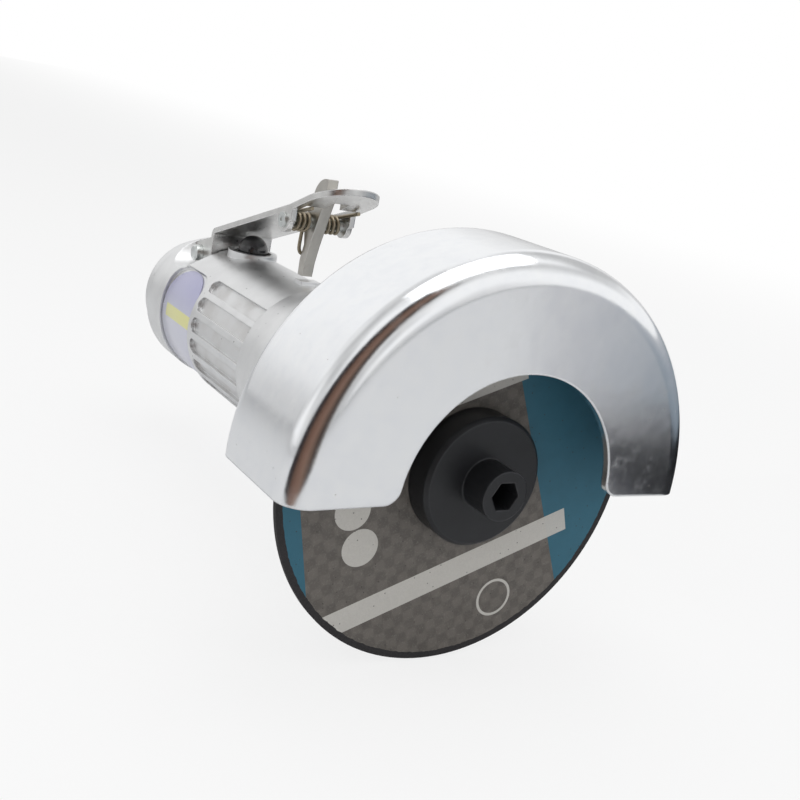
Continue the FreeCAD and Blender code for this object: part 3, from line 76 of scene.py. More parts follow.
class Wire:
    def __init__(self, paint, socket):
        self.paint = paint
        self.socket = socket

    def reckon(self, operation, other=None, turned=False):
        terms = [self] if other is None else [other, self] if turned else [self, other]
        return self.paint.node("Math", {"operation": operation}, dict(enumerate(terms)))

    def __add__(self, other):
        return self.reckon("ADD", other)

    def __sub__(self, other):
        return self.reckon("SUBTRACT", other)

    def __rsub__(self, other):
        return self.reckon("SUBTRACT", other, turned=True)

    def __mul__(self, other):
        return self.reckon("MULTIPLY", other)

    def __pow__(self, other):
        return self.reckon("POWER", other)

    def __gt__(self, other):
        return self.reckon("GREATER_THAN", other)

    def __lt__(self, other):
        return self.reckon("LESS_THAN", other)

    __radd__ = __add__
    __rmul__ = __mul__

    def between(self, low, high):     # 1 inside the two limits, 0 outside
        return (self > low) * (self < high)

    def ease(self, low, high):        # 0 below low, 1 above high, smooth between
        return self.paint.node("MapRange", {"interpolation_type": "SMOOTHSTEP"},
                               {0: self, 1: low, 2: high})


class Paint:
    def __init__(self, name, **fixed):
        self.material = bpy.data.materials.new(name)
        self.material.use_nodes = True
        self.tree = self.material.node_tree
        self.shader = self.tree.nodes["Principled BSDF"]
        spot = self.node("TexCoord", out="Object")
        self.spot = self.node("VectorMath", {"operation": "SCALE"}, {0: spot, "Scale": 1 / mm})
        self.x, self.y, self.z = [self.node("SeparateXYZ", values={0: self.spot}, out=axis)
                                  for axis in "XYZ"]
        self.round = (self.x * self.x + self.z * self.z) ** 0.5      # distance from the spindle
        self.feed(**fixed)

    def node(self, kind, settings=None, values=None, out=0):
        made = self.tree.nodes.new("ShaderNode" + kind)
        for key, value in (settings or {}).items():
            if key == "stops":
                self.fillRamp(made.color_ramp, value)
            else:
                setattr(made, key, value)
        for key, value in (values or {}).items():
            if isinstance(value, Wire):
                self.tree.links.new(value.socket, made.inputs[key])
            else:
                made.inputs[key].default_value = value
        return Wire(self, made.outputs[out])

    def fillRamp(self, ramp, stops):
        for end in (0, -1):
            ramp.elements[end].position = stops[end][0]
            ramp.elements[end].color = (*stops[end][1], 1)
        for place, tint in stops[1:-1]:
            ramp.elements.new(place).color = (*tint, 1)

    def feed(self, **inputs):         # baseColor=..., roughness=... go to the shader's own sockets
        names = {"baseColor": "Base Color", "coatWeight": "Coat Weight", "coatRoughness": "Coat Roughness"}
        for key, value in inputs.items():
            socket = self.shader.inputs[names.get(key, key.capitalize())]
            if isinstance(value, Wire):
                self.tree.links.new(value.socket, socket)
            elif key == "baseColor":
                socket.default_value = (*value, 1)
            else:
                socket.default_value = value

    def grain(self, size, detail=2.0, stretch=(1, 1, 1), shift=0.0, rough=0.5):      # size in mm
        spot = self.node("Mapping", values={
            "Vector": self.spot, "Location": (shift, shift, shift), "Scale": stretch})
        return self.node("TexNoise", values={
            "Vector": spot, "Scale": 1 / size, "Detail": detail, "Roughness": rough})

    def cells(self, size, shift):     # distance to the nearest of many scattered points
        spot = self.node("Mapping", values={"Vector": self.spot, "Location": (shift, shift, shift)})
        return self.node("TexVoronoi", {"feature": "F1"}, {"Vector": spot, "Scale": 1 / size}, "Distance")

    def ramp(self, value, *stops):
        return self.node("ValToRGB", {"stops": stops}, {0: value})

    def mix(self, amount, below, above):
        tints = [value if isinstance(value, Wire) else (*value, 1) for value in (below, above)]
        return self.node("Mix", {"data_type": "RGBA"}, {0: amount, 6: tints[0], 7: tints[1]}, out=2)

    def softEdge(self, radius):       # a normal that rolls over the sharp edges, radius in mm
        return self.node("Bevel", {"samples": 6}, {"Radius": radius * mm})

    def worn(self, radius, strength=6.0):     # 1 along the edges, 0 on the flats
        sharp = self.node("NewGeometry", out="Normal")
        agree = self.node("VectorMath", {"operation": "DOT_PRODUCT"},
                          {0: self.softEdge(radius), 1: sharp}, out="Value")
        return self.node("Clamp", values={0: (1 - agree) * strength})

    def bump(self, height, depth, strength, over=None):      # the last step of a material; depth in mm
        values = {"Height": height, "Distance": depth * mm, "Strength": strength}
        if over is not None:
            values["Normal"] = over
        self.feed(normal=self.node("Bump", values=values))
        return self


def shade(tint, amount):              # the same colour, darker under 1 and lighter over it
    return [part * amount for part in tint]


def dress(paint, *names):             # the material on solids that keep their own shape
    for name in names:
        mesh = nodes[name].data
        mesh.materials.clear()
        mesh.materials.append(paint.material)


def finishWith(piece, kind, **settings):      # adds one modifier and applies it
    change = piece.modifiers.new(kind.title(), kind)
    for key, value in settings.items():
        setattr(change, key, value)
    bpy.ops.object.modifier_apply(modifier=change.name)


def mount(piece, paint, body, stoodFor):
    piece.data.materials.append(paint.material)
    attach(piece, body)
    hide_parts(stoodFor)
    print(piece.name, "stands for", stoodFor)


# Housing: bead-blasted die casting, darker and browner in patches on the grip slots' floors, a few dark
# pits. The slots' ends are places on Y, and slotFloor is a radius just over their floors.
housingLook = {"tint": (0.84, 0.845, 0.85), "dustTint": (0.46, 0.42, 0.38), "dust": 0.22,
               "edgeTint": (0.86, 0.87, 0.88), "wear": 0.35, "pitTint": (0.1, 0.09, 0.08), "pits": 0.8,
               "slotStart": -79.0, "slotEnd": -48.5, "slotFloor": 17.15, "grain": 0.16, "cloud": 6.0,
               "patch": 9.0, "pitSpacing": 3.1, "pitShare": 0.055, "edge": 0.35, "rough": 0.3}


def castAlloy(look):
    paint = Paint("castAlloy", metallic=1.0)
    blast = paint.grain(look["grain"], detail=3)
    cloud = paint.grain(look["cloud"], detail=4, shift=3.0)
    inSlot = paint.y.between(look["slotStart"], look["slotEnd"]) * (paint.round < look["slotFloor"])
    onFloor = inSlot * cloud.ease(0.35, 0.7)
    patch = paint.grain(look["patch"], shift=21.0) > 0.5
    pit = (paint.cells(look["pitSpacing"], shift=5.0) < look["pitShare"]) * patch
    edge = paint.worn(look["edge"])
    tint = paint.ramp(cloud, (0.3, shade(look["tint"], 0.9)), (0.7, look["tint"]))
    # patches of the slot floors are mixed toward a darker, browner tint
    tint = paint.mix(onFloor * look["dust"], tint, look["dustTint"])
    tint = paint.mix(edge * look["wear"], tint, look["edgeTint"])
    tint = paint.mix(pit * look["pits"], tint, look["pitTint"])
    rough = cloud * 0.12 + look["rough"] + blast * 0.06 + onFloor * 0.2 - edge * 0.08
    paint.feed(baseColor=tint, roughness=rough)
    return paint.bump(blast - pit, 0.02, 0.5, paint.softEdge(look["edge"]))


dress(castAlloy(housingLook), "motor_housing", "exhaust_deflector")

# Label: a film with round ends, lilac, paler low on the left, with one yellow stripe there. Its
# edges are counted behind the wheel's front face, the stripe's ends are places on Y. The stripe's
# sides and the paler part are in degrees from the top down the left.
labelLook = {"upper": (0.5, 0.5, 0.72), "lower": (0.72, 0.73, 0.84), "paleFrom": 60, "paleTo": 100,
             "stripe": (0.87, 0.85, 0.4), "stripeFrom": 83.5, "stripeTo": 94.5, "stripeFront": -48.0,
             "stripeRear": -31.0, "cloudTint": (0.9, 0.9, 0.95), "clouds": 0.12,
             "scuffTint": (0.75, 0.74, 0.76), "scuffs": 0.25, "rough": 0.34, "coat": 0.4,
             "coatRough": 0.18, "radius": 16.53, "thick": 0.3, "front": 94.8, "rear": 113.4,
             "sweep": 264.4, "corner": 8.6, "cornerSteps": 12, "cuts": 60, "edge": 0.06}


def labelFilm(look):
    paint = Paint("labelFilm", coatWeight=look["coat"], coatRoughness=look["coatRough"])
    around = paint.node("Math", {"operation": "ARCTAN2"}, {0: 0.0 - paint.x, 1: paint.z}) * (180 / math.pi)
    grain = paint.grain(0.12)
    cloud = paint.grain(4.0, detail=3, shift=2.0)
    scuff = paint.grain(1.1, detail=4, stretch=(1, 0.25, 1), shift=7.0).ease(0.62, 0.8)
    tint = paint.mix(around.ease(look["paleFrom"], look["paleTo"]), look["upper"], look["lower"])
    tint = paint.mix(cloud * look["clouds"], tint, look["cloudTint"])
    stripe = around.between(look["stripeFrom"], look["stripeTo"])
    stripe = stripe * paint.y.between(look["stripeFront"], look["stripeRear"])
    tint = paint.mix(stripe, tint, look["stripe"])
    tint = paint.mix(scuff * look["scuffs"], tint, look["scuffTint"])
    paint.feed(baseColor=tint, roughness=look["rough"] + cloud * 0.1 + scuff * 0.2)
    return paint.bump(grain + stripe * 2, 0.008, 0.5)


def gripLabel(look):                  # a flat strip with round ends, wrapped round the grip's underside
    long = look["radius"] * math.radians(look["sweep"]) * mm
    bpy.ops.object.select_all(action="DESELECT")
    bpy.ops.mesh.primitive_plane_add(size=1)
    film = bpy.context.object
    film.name = "gripLabel"
    film.scale = (long, (look["rear"] - look["front"]) * mm, 1)
    bpy.ops.object.transform_apply(scale=True)
    bpy.ops.object.mode_set(mode="EDIT")
    bpy.ops.mesh.select_all(action="SELECT")
    bpy.ops.mesh.bevel(offset=look["corner"] * mm, segments=look["cornerSteps"], affect="VERTICES")
    for step in range(1, look["cuts"]):
        bpy.ops.mesh.select_all(action="SELECT")
        bpy.ops.mesh.bisect(plane_co=((step / look["cuts"] - 0.5) * long, 0, 0), plane_no=(1, 0, 0))
    bpy.ops.object.mode_set(mode="OBJECT")
    radius = look["radius"] * mm
    middle = fromWheel((look["front"] + look["rear"]) / 2)
    for corner in film.data.vertices:
        turn = corner.co.x / radius
        corner.co = (-radius * math.sin(turn), middle + corner.co.y, -radius * math.cos(turn))
    finishWith(film, "SOLIDIFY", thickness=look["thick"] * mm, offset=1)
    finishWith(film, "BEVEL", width=look["edge"] * mm, segments=2, limit_method="ANGLE", angle_limit=0.9)
    bpy.ops.object.shade_smooth_by_angle(angle=0.6)
    mount(film, labelFilm(look), "housing", "label_band")


gripLabel(labelLook)

# Guard: pressed steel sheet, chrome plated, with faint polishing lines, finger marks and rust flecks
guardLook = {"tint": (0.92, 0.93, 0.94), "hazeTint": (0.86, 0.875, 0.9), "edgeTint": (0.95, 0.95, 0.96),
             "wear": 0.3, "fleckTint": (0.35, 0.3, 0.26), "flecks": 0.5, "fleckSpacing": 1.7,
             "fleckShare": 0.07, "patch": 7.0, "waves": 9.0, "haze": 3.0, "lines": 0.5, "edge": 0.6,
             "rough": 0.12}


def guardChrome(look):
    paint = Paint("guardChrome", metallic=1.0)
    waves = paint.grain(look["waves"], shift=4.0)
    haze = paint.grain(look["haze"], detail=5, shift=12.0, rough=0.6)
    lines = paint.grain(look["lines"], stretch=(1, 0.06, 1), shift=1.0)
    patch = paint.grain(look["patch"], shift=14.0) > 0.56
    fleck = (paint.cells(look["fleckSpacing"], shift=31.0) < look["fleckShare"]) * patch
    edge = paint.worn(look["edge"])
    tint = paint.ramp(haze, (0.3, look["hazeTint"]), (0.75, look["tint"]))
    tint = paint.mix(fleck * look["flecks"], tint, look["fleckTint"])
    tint = paint.mix(edge * look["wear"], tint, look["edgeTint"])
    rough = look["rough"] + haze.ease(0.45, 0.8) * 0.1 + lines * 0.04 + fleck * 0.2
    paint.feed(baseColor=tint, roughness=rough)
    return paint.bump(waves * 6 + lines * 0.1, 0.025, 0.35, paint.softEdge(look["edge"]))


dress(guardChrome(guardLook), "wheel_guard")

# Wheel: resin-bonded grit over a glass net, with a paper printed in plain fields on the front.
# Each side field ends at x = place - slope * z, and the stripes lie along the paper's own tilt, in
# degrees. A spot is x, z and radius; the ring is x, z, outer and inner radius.
paperLook = {"radius": 36.2, "torn": 0.5, "teal": (0.03, 0.13, 0.19), "grit": (0.155, 0.14, 0.125),
             "sandTint": (0.36, 0.34, 0.31), "pale": (0.66, 0.64, 0.6), "rim": (0.02, 0.019, 0.02),
             "speckTint": (0.04, 0.038, 0.035), "specks": 0.75, "speckSpacing": 1.5, "speckShare": 0.085,
             "netPitch": 2.1, "rightField": (16.3, 0.47), "leftField": (-34.0, 0.25), "tilt": 20.5,
             "stripeLow": -21.4, "stripeHigh": -16.6, "stripeEnd": 21.0,
             "upperLow": 13.3, "upperHigh": 17.0, "upperStart": -14.0, "upperEnd": 15.2,
             "spots": [(-22.2, -7.0, 3.5), (-19.4, -13.9, 3.6)], "ring": (12.8, -26.2, 3.9, 3.35)}


def paleShapes(paint, look, along, across):   # the stripes, dots and ring printed in the pale ink
    def spread(x, z):                         # squared distance from a place on the paper
        return (paint.x - x) * (paint.x - x) + (paint.z - z) * (paint.z - z)
    pale = across.between(look["stripeLow"], look["stripeHigh"]) * (along < look["stripeEnd"])
    pale = pale + across.between(look["upperLow"], look["upperHigh"]) * along.between(
        look["upperStart"], look["upperEnd"])
    for x, z, radius in look["spots"]:
        pale = pale + (spread(x, z) < radius * radius)
    x, z, outer, inner = look["ring"]
    pale = pale + spread(x, z).between(inner * inner, outer * outer)
    return paint.node("Clamp", values={0: pale})


def wheelGrit(look):
    paint = Paint("wheelGrit")
    tilt = math.radians(look["tilt"])
    along = paint.x * math.cos(tilt) + paint.z * math.sin(tilt)
    across = paint.z * math.cos(tilt) - paint.x * math.sin(tilt)
    facing = paint.node("SeparateXYZ", values={0: paint.node("NewGeometry", out="Normal")}, out="Y")
    torn = look["radius"] + paint.grain(1.2, shift=8.0) * look["torn"] - look["torn"] / 2
    paper = (paint.round < torn) * (facing < -0.5)
    sand = paint.grain(0.32, detail=4, rough=0.7)
    coarse = paint.grain(2.4, detail=4, shift=6.0)
    strand = math.pi / look["netPitch"]
    net = (along * strand).reckon("SINE") * (across * strand).reckon("SINE")
    net = (net * 2.5 + paint.grain(1.6, detail=3, shift=17.0) * 2 - 1).ease(-0.8, 0.8) * 2 - 1
    speck = paint.cells(look["speckSpacing"], shift=2.0) < look["speckShare"]
    printed = paint.mix((net * 0.5 + 0.5) * 0.25 + coarse * 0.5, shade(look["grit"], 0.6),
                        shade(look["grit"], 1.5))
    printed = paint.mix(sand.ease(0.5, 0.75) * 0.35, printed, look["sandTint"])
    teal = paint.mix(coarse * 0.4 + sand * 0.2, look["teal"], shade(look["teal"], 1.5))
    place, slope = look["rightField"]
    sides = paint.x > (place - paint.z * slope)
    place, slope = look["leftField"]
    sides = sides + (paint.x < (place - paint.z * slope))
    pale = paleShapes(paint, look, along, across)
    printed = paint.mix(sides, printed, teal)
    printed = paint.mix(pale * (0.78 + sand * 0.3), printed, look["pale"])
    printed = paint.mix(speck * look["specks"], printed, look["speckTint"])
    bare = paint.mix(sand, look["rim"], shade(look["rim"], 2.6))
    paint.feed(baseColor=paint.mix(paper, bare, printed), roughness=0.9 - paper * 0.28 + pale * 0.05)
    height = sand * (1.2 - paper * 0.8) + net * 0.3 * paper * (1 - sides) + paper * 0.6
    return paint.bump(height, 0.12, 0.7)


dress(wheelGrit(paperLook), "cutting_wheel")

# Turned, ground, sheet and plated metals share one builder: tint, roughness, line direction, wear
metalLook = {
    "leverSheet": {"tint": (0.84, 0.835, 0.82), "rough": 0.24, "lines": (1, 0.08, 1), "edge": 0.35,
                   "grime": 0.06, "depth": 0.004},
    "latchSteel": {"tint": (0.6, 0.58, 0.54), "rough": 0.3, "lines": (1, 1, 0.1), "edge": 0.2,
                   "grime": 0.3, "depth": 0.008},
    "coilWire": {"tint": (0.36, 0.31, 0.23), "rough": 0.34, "edge": 0.08, "edgeTint": (0.5, 0.44, 0.36),
                 "grime": 0.5, "grimeTint": (0.1, 0.075, 0.05)},
    "pinSteel": {"tint": (0.76, 0.79, 0.78), "rough": 0.24, "edge": 0.1, "grime": 0.05, "depth": 0.003},
    "groundSteel": {"tint": (0.55, 0.55, 0.56), "rough": 0.24, "lines": (1, 0.1, 1)},
    "bearingSteel": {"tint": (0.64, 0.64, 0.65), "rough": 0.14},
    "springSteel": {"tint": (0.45, 0.45, 0.46), "rough": 0.28, "edge": 0.1},
    "nutSteel": {"tint": (0.3, 0.3, 0.31), "rough": 0.34, "edge": 0.4},
    "inletSteel": {"tint": (0.52, 0.52, 0.5), "rough": 0.28, "edge": 0.5},
    "brass": {"tint": (0.72, 0.55, 0.27), "rough": 0.25, "edgeTint": (0.85, 0.72, 0.42)},
    "blackSteel": {"tint": (0.022, 0.023, 0.026), "rough": 0.36, "size": 0.25, "edge": 0.5,
                   "edgeTint": (0.075, 0.078, 0.085), "grime": 0.3, "grimeTint": (0.045, 0.042, 0.04),
                   "metallic": 0.35}}


def metal(name, tint, rough, lines=(1, 1, 1), size=0.6, edge=0.25, edgeTint=(0.85, 0.85, 0.86),
          grime=0.2, grimeTint=(0.25, 0.22, 0.19), metallic=1.0, depth=0.02):
    paint = Paint(name, metallic=metallic)
    brushed = paint.grain(size, detail=3, stretch=lines)
    cloud = paint.grain(3.5, detail=4, shift=5.0)
    dirt = paint.grain(1.6, detail=5, shift=11.0, rough=0.65).ease(0.55, 0.8)
    wear = paint.worn(edge)
    blend = paint.ramp(cloud, (0.3, shade(tint, 0.86)), (0.7, tint))
    blend = paint.mix(dirt * grime, blend, grimeTint)
    blend = paint.mix(wear * 0.5, blend, edgeTint)
    paint.feed(baseColor=blend, roughness=rough + brushed * 0.1 + dirt * 0.15 - wear * 0.06)
    return paint.bump(brushed + cloud * 0.5, depth, 0.5, paint.softEdge(edge))


metals = {name: metal(name, **look) for name, look in metalLook.items()}
dress(metals["leverSheet"], "throttle_lever")
dress(metals["latchSteel"], "safety_latch")
dress(metals["pinSteel"], "lever_pin", "latch_pin")
dress(metals["groundSteel"], "cylinder_liner", "front_end_plate", "rear_end_plate", "rotor_shaft",
      "valve_stem")
dress(metals["bearingSteel"], "front_bearing_outer_ring", "rear_bearing_outer_ring",
      "front_bearing_inner_ring", "rear_bearing_inner_ring", "locating_pin")
dress(metals["springSteel"], "preload_washer")
dress(metals["nutSteel"], "clamp_nut")
dress(metals["inletSteel"], "inlet_bushing")
dress(metals["brass"], "valve_bushing", "inlet_screen")
dress(metals["blackSteel"], "wheel_screw", "inner_flange")


def woundWire(name, points, wire):    # points: mm across, behind the wheel, up; wire: its radius
    bpy.ops.object.select_all(action="DESELECT")
    bpy.ops.curve.primitive_nurbs_path_add()
    coil = bpy.context.object
    coil.name = name
    line = coil.data.splines[0]
    line.points.add(len(points) - len(line.points))
    for knot, (across, depth, height) in zip(line.points, points):
        knot.co = (across * mm, fromWheel(depth), height * mm, 1)
    line.order_u = 3
    line.use_endpoint_u = True
    line.resolution_u = 4
    coil.data.bevel_depth = wire * mm
    coil.data.bevel_resolution = 3
    coil.data.use_fill_caps = True
    bpy.ops.object.convert(target="MESH")
    bpy.ops.object.mode_set(mode="EDIT")
    bpy.ops.mesh.select_all(action="SELECT")
    bpy.ops.mesh.remove_doubles(threshold=0.01 * mm)
    bpy.ops.mesh.normals_make_consistent(inside=False)
    bpy.ops.object.mode_set(mode="OBJECT")
    bpy.ops.object.shade_smooth_by_angle(angle=0.9)
    return coil


# Latch spring: three tight curls each side of the latch, a V behind its leg, two arms under the
# paddle. A V point is a share of the inner gap and a way up from the tip, an arm point a share of
# its length. The pin is counted behind the wheel's front face.
springLook = {"wire": 0.43, "curl": 1.87, "inner": 1.95, "pitch": 1.2, "turns": 3, "perTurn": 16,
              "pinDepth": 72.0, "pinHeight": 31.2, "loopBack": 2.5, "loopDrop": 7.9,
              "loopPoints": ((0.5, 0.25), (0.85, 0.9), (1.0, 2.0), (1.0, 5.0)),
              "arm": 9.2, "armRise": 0.275, "armPoints": (0.3, 0.65, 0.95, 1.0)}


def springSide(look):                 # the right half of the wire, from the V to the arm's tip, in mm
    pinDepth, pinHeight, back, drop, curl, inner = [
        look[key] for key in ("pinDepth", "pinHeight", "loopBack", "loopDrop", "curl", "inner")]
    start = math.acos(curl / math.hypot(back, drop)) - math.atan2(drop, back)
    last = math.atan2(1, look["armRise"]) + 2 * math.pi * look["turns"]
    down = (math.sin(start), -math.cos(start))
    tip = (pinDepth + back, pinHeight - drop)
    points = [(inner * share, tip[0] - down[0] * rise, tip[1] - down[1] * rise)
              for share, rise in look["loopPoints"]]
    steps = math.ceil((last - start) / (2 * math.pi) * look["perTurn"])
    for step in range(steps + 1):
        turn = start + (last - start) * step / steps
        points.append((inner + look["pitch"] * (turn - start) / (2 * math.pi),
                       pinDepth + curl * math.cos(turn), pinHeight + curl * math.sin(turn)))
    across, depth, height = points[-1]
    for share in look["armPoints"]:
        reach = look["arm"] * share
        points.append((across, depth - reach * math.sin(last), height + reach * math.cos(last)))
    return points


def latchCoil(look):
    rightSide = springSide(look)
    leftSide = [(-across, depth, height) for across, depth, height in reversed(rightSide)]
    coil = woundWire("latchCoil", leftSide + rightSide, look["wire"])
    mount(coil, metals["coilWire"], "lever", "latch_spring")


latchCoil(springLook)

# Valve spring: stands on the floor of its bore under the stem's head
valveLook = {"wire": 0.35, "turns": 4, "perTurn": 16, "stroke": 1.0}


def valveCoil(look):
    low, high = [[value / mm for value in corner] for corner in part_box("valve_spring")]
    radius = (high[0] - low[0]) / 2 - look["wire"]
    middle = (low[1] + high[1]) / 2 - wheelFace / mm
    foot, head = low[2] + look["wire"], high[2] - look["wire"]
    steps = look["turns"] * look["perTurn"]
    points = []
    for step in range(steps + 1):
        turn = 2 * math.pi * step / look["perTurn"]
        points.append((radius * math.cos(turn), middle + radius * math.sin(turn),
                       foot + (head - foot) * step / steps))
    coil = woundWire("valveCoil", points, look["wire"])
    mount(coil, metals["springSteel"], "housing", "valve_spring")
    fromWheel(middle)
    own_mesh(coil)


valveCoil(valveLook)

# Moulded, laminated and pressed pieces that aren't metal: pores' size and depth in mm
softLook = {
    "buttonPlastic": {"tint": (0.02, 0.02, 0.022), "rough": 0.12, "size": 0.5, "depth": 0.01, "coat": 0.6},
    "faceRubber": {"tint": (0.03, 0.03, 0.03), "rough": 0.6, "size": 0.2, "depth": 0.02},
    "vaneLaminate": {"tint": (0.4, 0.25, 0.13), "rough": 0.5, "size": 0.35, "depth": 0.03},
    "sealFelt": {"tint": (0.42, 0.4, 0.36), "rough": 0.95, "size": 0.12, "depth": 0.12}}


def moulded(name, tint, rough, size, depth, coat=0.0):
    paint = Paint(name, coatWeight=coat, coatRoughness=0.12)
    pores = paint.grain(size, detail=4)
    cloud = paint.grain(2.8, detail=3, shift=6.0)
    paint.feed(baseColor=paint.mix(cloud, shade(tint, 0.7), shade(tint, 1.35)),
               roughness=rough + pores * 0.12)
    return paint.bump(pores, depth, 0.6, paint.softEdge(0.3))


for name, node in (("buttonPlastic", "valve_button"), ("faceRubber", "valve_face"),
                   ("vaneLaminate", "rotor_vanes"), ("sealFelt", "dust_seal")):
    dress(moulded(name, **softLook[name]), node)
print("all", len(nodes), "nodes are dressed or stood for")

# Floor: white to the eye away from the tool, lit and shadowed by it close by. The reach is in
# metres, the gap under the tool and the two distances from the spindle in mm.
floorLook = {"gap": 0.4, "reach": 3.0, "tint": (0.93, 0.935, 0.94), "shown": 0.8,
             "whiteFrom": 150.0, "whiteTo": 900.0}


def paleFloor(look):
    bpy.ops.mesh.primitive_grid_add(x_subdivisions=8, y_subdivisions=8, size=2 * look["reach"],
                                    location=(0, wheelFace, cadBox[0][2] - look["gap"] * mm))
    floor = bpy.context.object
    floor.name = "floor"
    bpy.ops.object.transform_apply(location=True)
    paint = Paint("floorWhite", baseColor=look["tint"], roughness=0.9)
    eye = paint.node("LightPath", out="Is Camera Ray")
    seen = eye * (look["shown"] + paint.round.ease(look["whiteFrom"], look["whiteTo"]) * (1 - look["shown"]))
    lit = Wire(paint, paint.shader.outputs[0])
    blend = paint.node("MixShader", values={0: seen, 1: lit, 2: paint.node("Emission")})
    paint.tree.links.new(blend.socket, paint.tree.nodes["Material Output"].inputs[0])
    floor.data.materials.append(paint.material)


paleFloor(floorLook)

# Studio cards that only the gloss sees, since the plated guard needs something to mirror. Each is a
# strip along a curved path, shaded from one long side to the other. Places and widths in metres.
cardLook = {
    "photographer": {"path": [(-0.118, -0.197, -0.036), (-0.178, -0.268, 0.111), (-0.033, -0.281, 0.309)],
                     "across": (0.55, -0.75, 0.2), "half": 0.085,
                     "shades": ((0.0, (0.012, 0.012, 0.02)), (0.2, (0.03, 0.018, 0.016)),
                                (0.42, (0.24, 0.13, 0.09)), (0.62, (0.3, 0.18, 0.13)),
                                (0.85, (0.05, 0.035, 0.03)), (1.0, (0.25, 0.22, 0.2)))},
    "bench": {"path": [(0.212, -0.315, -0.0365), (0.102, -0.225, -0.0365), (0.15, -0.06, -0.0365)],
              "across": (1.0, 0.0, 0.0), "half": 0.055,
              "shades": ((0.0, (0.35, 0.35, 0.37)), (0.14, (0.05, 0.05, 0.06)),
                         (0.24, (0.008, 0.008, 0.01)), (1.0, (0.008, 0.008, 0.01)))},
    "wall": {"path": [(0.135, -0.315, -0.03), (0.2, -0.24, -0.02), (0.2, -0.06, -0.006)],
             "across": (0.0, 0.0, 1.0), "half": 0.07, "fade": 0.35, "fadeTint": (0.8, 0.8, 0.82),
             "shades": ((0.0, (0.01, 0.01, 0.012)), (0.48, (0.01, 0.01, 0.012)),
                        (0.54, (0.3, 0.36, 0.42)), (0.8, (0.45, 0.5, 0.56)), (1.0, (0.7, 0.72, 0.75)))}}


def studioCard(name, look):
    bpy.ops.mesh.primitive_grid_add(x_subdivisions=8, y_subdivisions=4, size=2)
    card = bpy.context.object
    card.name = name
    start, middle, end = [Vector(spot) for spot in look["path"]]
    side = Vector(look["across"]).normalized() * look["half"]
    for corner in card.data.vertices:
        along = (corner.co.x + 1) / 2
        spot = start * (1 - along) ** 2 + 2 * middle * along * (1 - along) + end * along ** 2
        corner.co = spot + side * corner.co.y
    paint = Paint(name + "Cloth", roughness=1.0)
    chart = paint.node("TexCoord", out="UV")
    length, width = [paint.node("SeparateXYZ", values={0: chart}, out=axis) for axis in "XY"]
    folds = paint.grain(30.0)
    tint = paint.ramp(width + folds * 0.04 - 0.02, *look["shades"])
    if "fade" in look:
        tint = paint.mix(length.ease(0.0, look["fade"]), look["fadeTint"], tint)
    paint.feed(baseColor=tint)
    card.data.materials.append(paint.material)
    card.visible_camera = False
    card.visible_diffuse = False
    card.visible_shadow = False
    card.visible_transmission = False


for name, look in cardLook.items():
    studioCard(name, look)

# Soft lamps, each aimed at the middle of the tool
lampLook = {"overhead": {"at": (0.05, -0.1, 0.55), "size": 0.5, "power": 0.95, "mirrored": True},
            "leftFill": {"at": (-0.5, -0.35, 0.3), "size": 0.45, "power": 0.7, "mirrored": False},
            "rightFill": {"at": (0.45, -0.55, 0.25), "size": 0.4, "power": 0.4, "mirrored": False}}
lampAim = (0, -0.1, 0)


def softLamp(name, look):
    light = bpy.data.lights.new(name, "AREA")
    light.energy = look["power"]
    light.size = look["size"]
    lamp = bpy.data.objects.new(name, light)
    lamp.location = look["at"]
    lamp.visible_glossy = look["mirrored"]
    lamp.rotation_euler = (Vector(lampAim) - Vector(look["at"])).to_track_quat("-Z", "Y").to_euler()
    bpy.context.scene.collection.objects.link(lamp)


for name, look in lampLook.items():
    softLamp(name, look)

# World: white to the eye, even on matt surfaces, in soft light and dark patches on gloss
worldLook = {"strength": 0.45, "mirrorLow": 0.55, "mirrorHigh": 0.98, "patchScale": 1.6,
             "patchFrom": 0.35, "patchTo": 0.6}


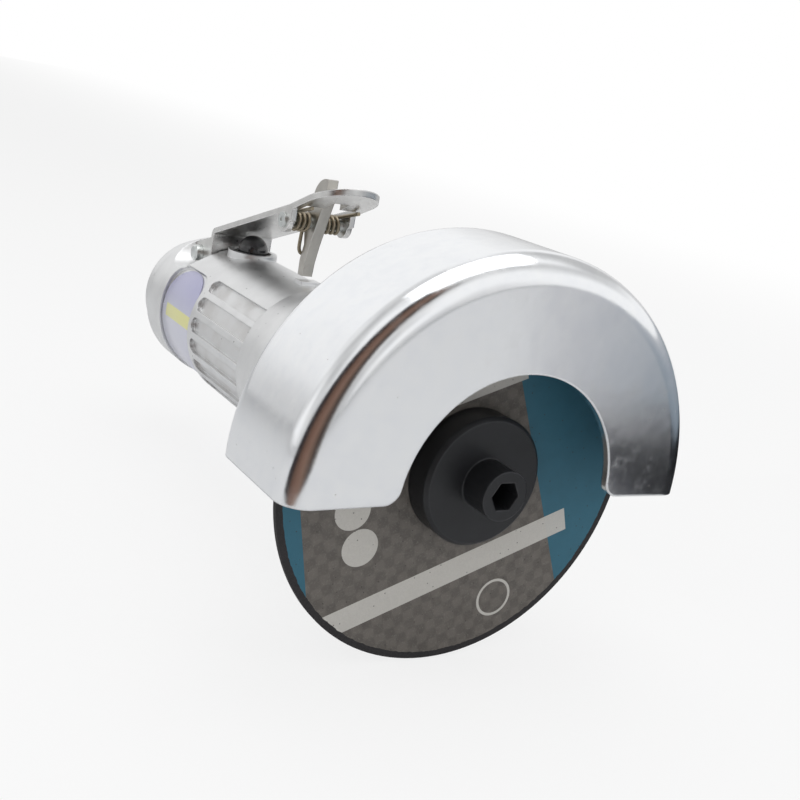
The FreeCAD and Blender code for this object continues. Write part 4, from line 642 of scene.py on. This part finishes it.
def studioWorld(look):
    world = bpy.data.worlds.new("studio")
    bpy.context.scene.world = world
    world.use_nodes = True
    tree = world.node_tree
    tree.nodes.clear()

    def add(kind, values=()):
        made = tree.nodes.new("ShaderNode" + kind)
        for key, value in dict(values).items():
            made.inputs[key].default_value = value
        return made

    rays = add("LightPath")
    spot = add("TexCoord")
    noise = add("TexNoise", {"Scale": look["patchScale"], "Detail": 1.0})
    shades = add("MapRange", {"From Min": look["patchFrom"], "From Max": look["patchTo"],
                              "To Min": look["mirrorLow"], "To Max": look["mirrorHigh"]})
    forGloss = add("Mix", {"A": look["strength"]})
    forEye = add("Mix", {"B": 1.0})
    air = add("Background", {"Color": (1, 1, 1, 1)})
    out = add("OutputWorld")
    for start, end in ((spot.outputs["Generated"], noise.inputs["Vector"]),
                       (noise.outputs["Fac"], shades.inputs["Value"]),
                       (rays.outputs["Is Glossy Ray"], forGloss.inputs["Factor"]),
                       (shades.outputs["Result"], forGloss.inputs["B"]),
                       (rays.outputs["Is Camera Ray"], forEye.inputs["Factor"]),
                       (forGloss.outputs["Result"], forEye.inputs["A"]),
                       (forEye.outputs["Result"], air.inputs["Strength"]),
                       (air.outputs[0], out.inputs[0])):
        tree.links.new(start, end)


studioWorld(worldLook)
bpy.context.scene.view_settings.view_transform = "Standard"
print("floor, cards and lamps are up")

# Camera: turned about the wheel's centre, as the photographer stood. Focal length and optical
# centre in pixels of the square photograph, the rest in degrees and metres.
cameraLook = {"azimuth": -34.35, "elevation": 14.29, "roll": 11.09, "distance": 0.20109,
              "across": 0.01059, "up": -0.01537, "photo": 800, "focal": 1117.7,
              "centre": (407.41, 385.73), "sensor": 36, "nearest": 0.005}


def placeCamera(look):
    turn, rise, roll = [math.radians(look[key]) for key in ("azimuth", "elevation", "roll")]
    back = Vector((math.sin(turn) * math.cos(rise), -math.cos(turn) * math.cos(rise), math.sin(rise)))
    level = Vector((0, 0, 1)).cross(back).normalized()
    upright = back.cross(level)
    right = level * math.cos(roll) + upright * math.sin(roll)
    top = upright * math.cos(roll) - level * math.sin(roll)
    eye = Vector((0, wheelFace, 0)) + back * look["distance"] - right * look["across"] - top * look["up"]
    camera = bpy.data.objects.new("camera", bpy.data.cameras.new("camera"))
    camera.matrix_world = Matrix.Translation(eye) @ Matrix((right, top, back)).transposed().to_4x4()
    photo = look["photo"]
    camera.data.sensor_fit = "HORIZONTAL"
    camera.data.sensor_width = look["sensor"]
    camera.data.lens = look["focal"] * look["sensor"] / photo
    camera.data.shift_x = (photo / 2 - look["centre"][0]) / photo
    camera.data.shift_y = (look["centre"][1] - photo / 2) / photo
    camera.data.clip_start = look["nearest"]
    bpy.context.scene.collection.objects.link(camera)
    bpy.context.scene.camera = camera


placeCamera(cameraLook)
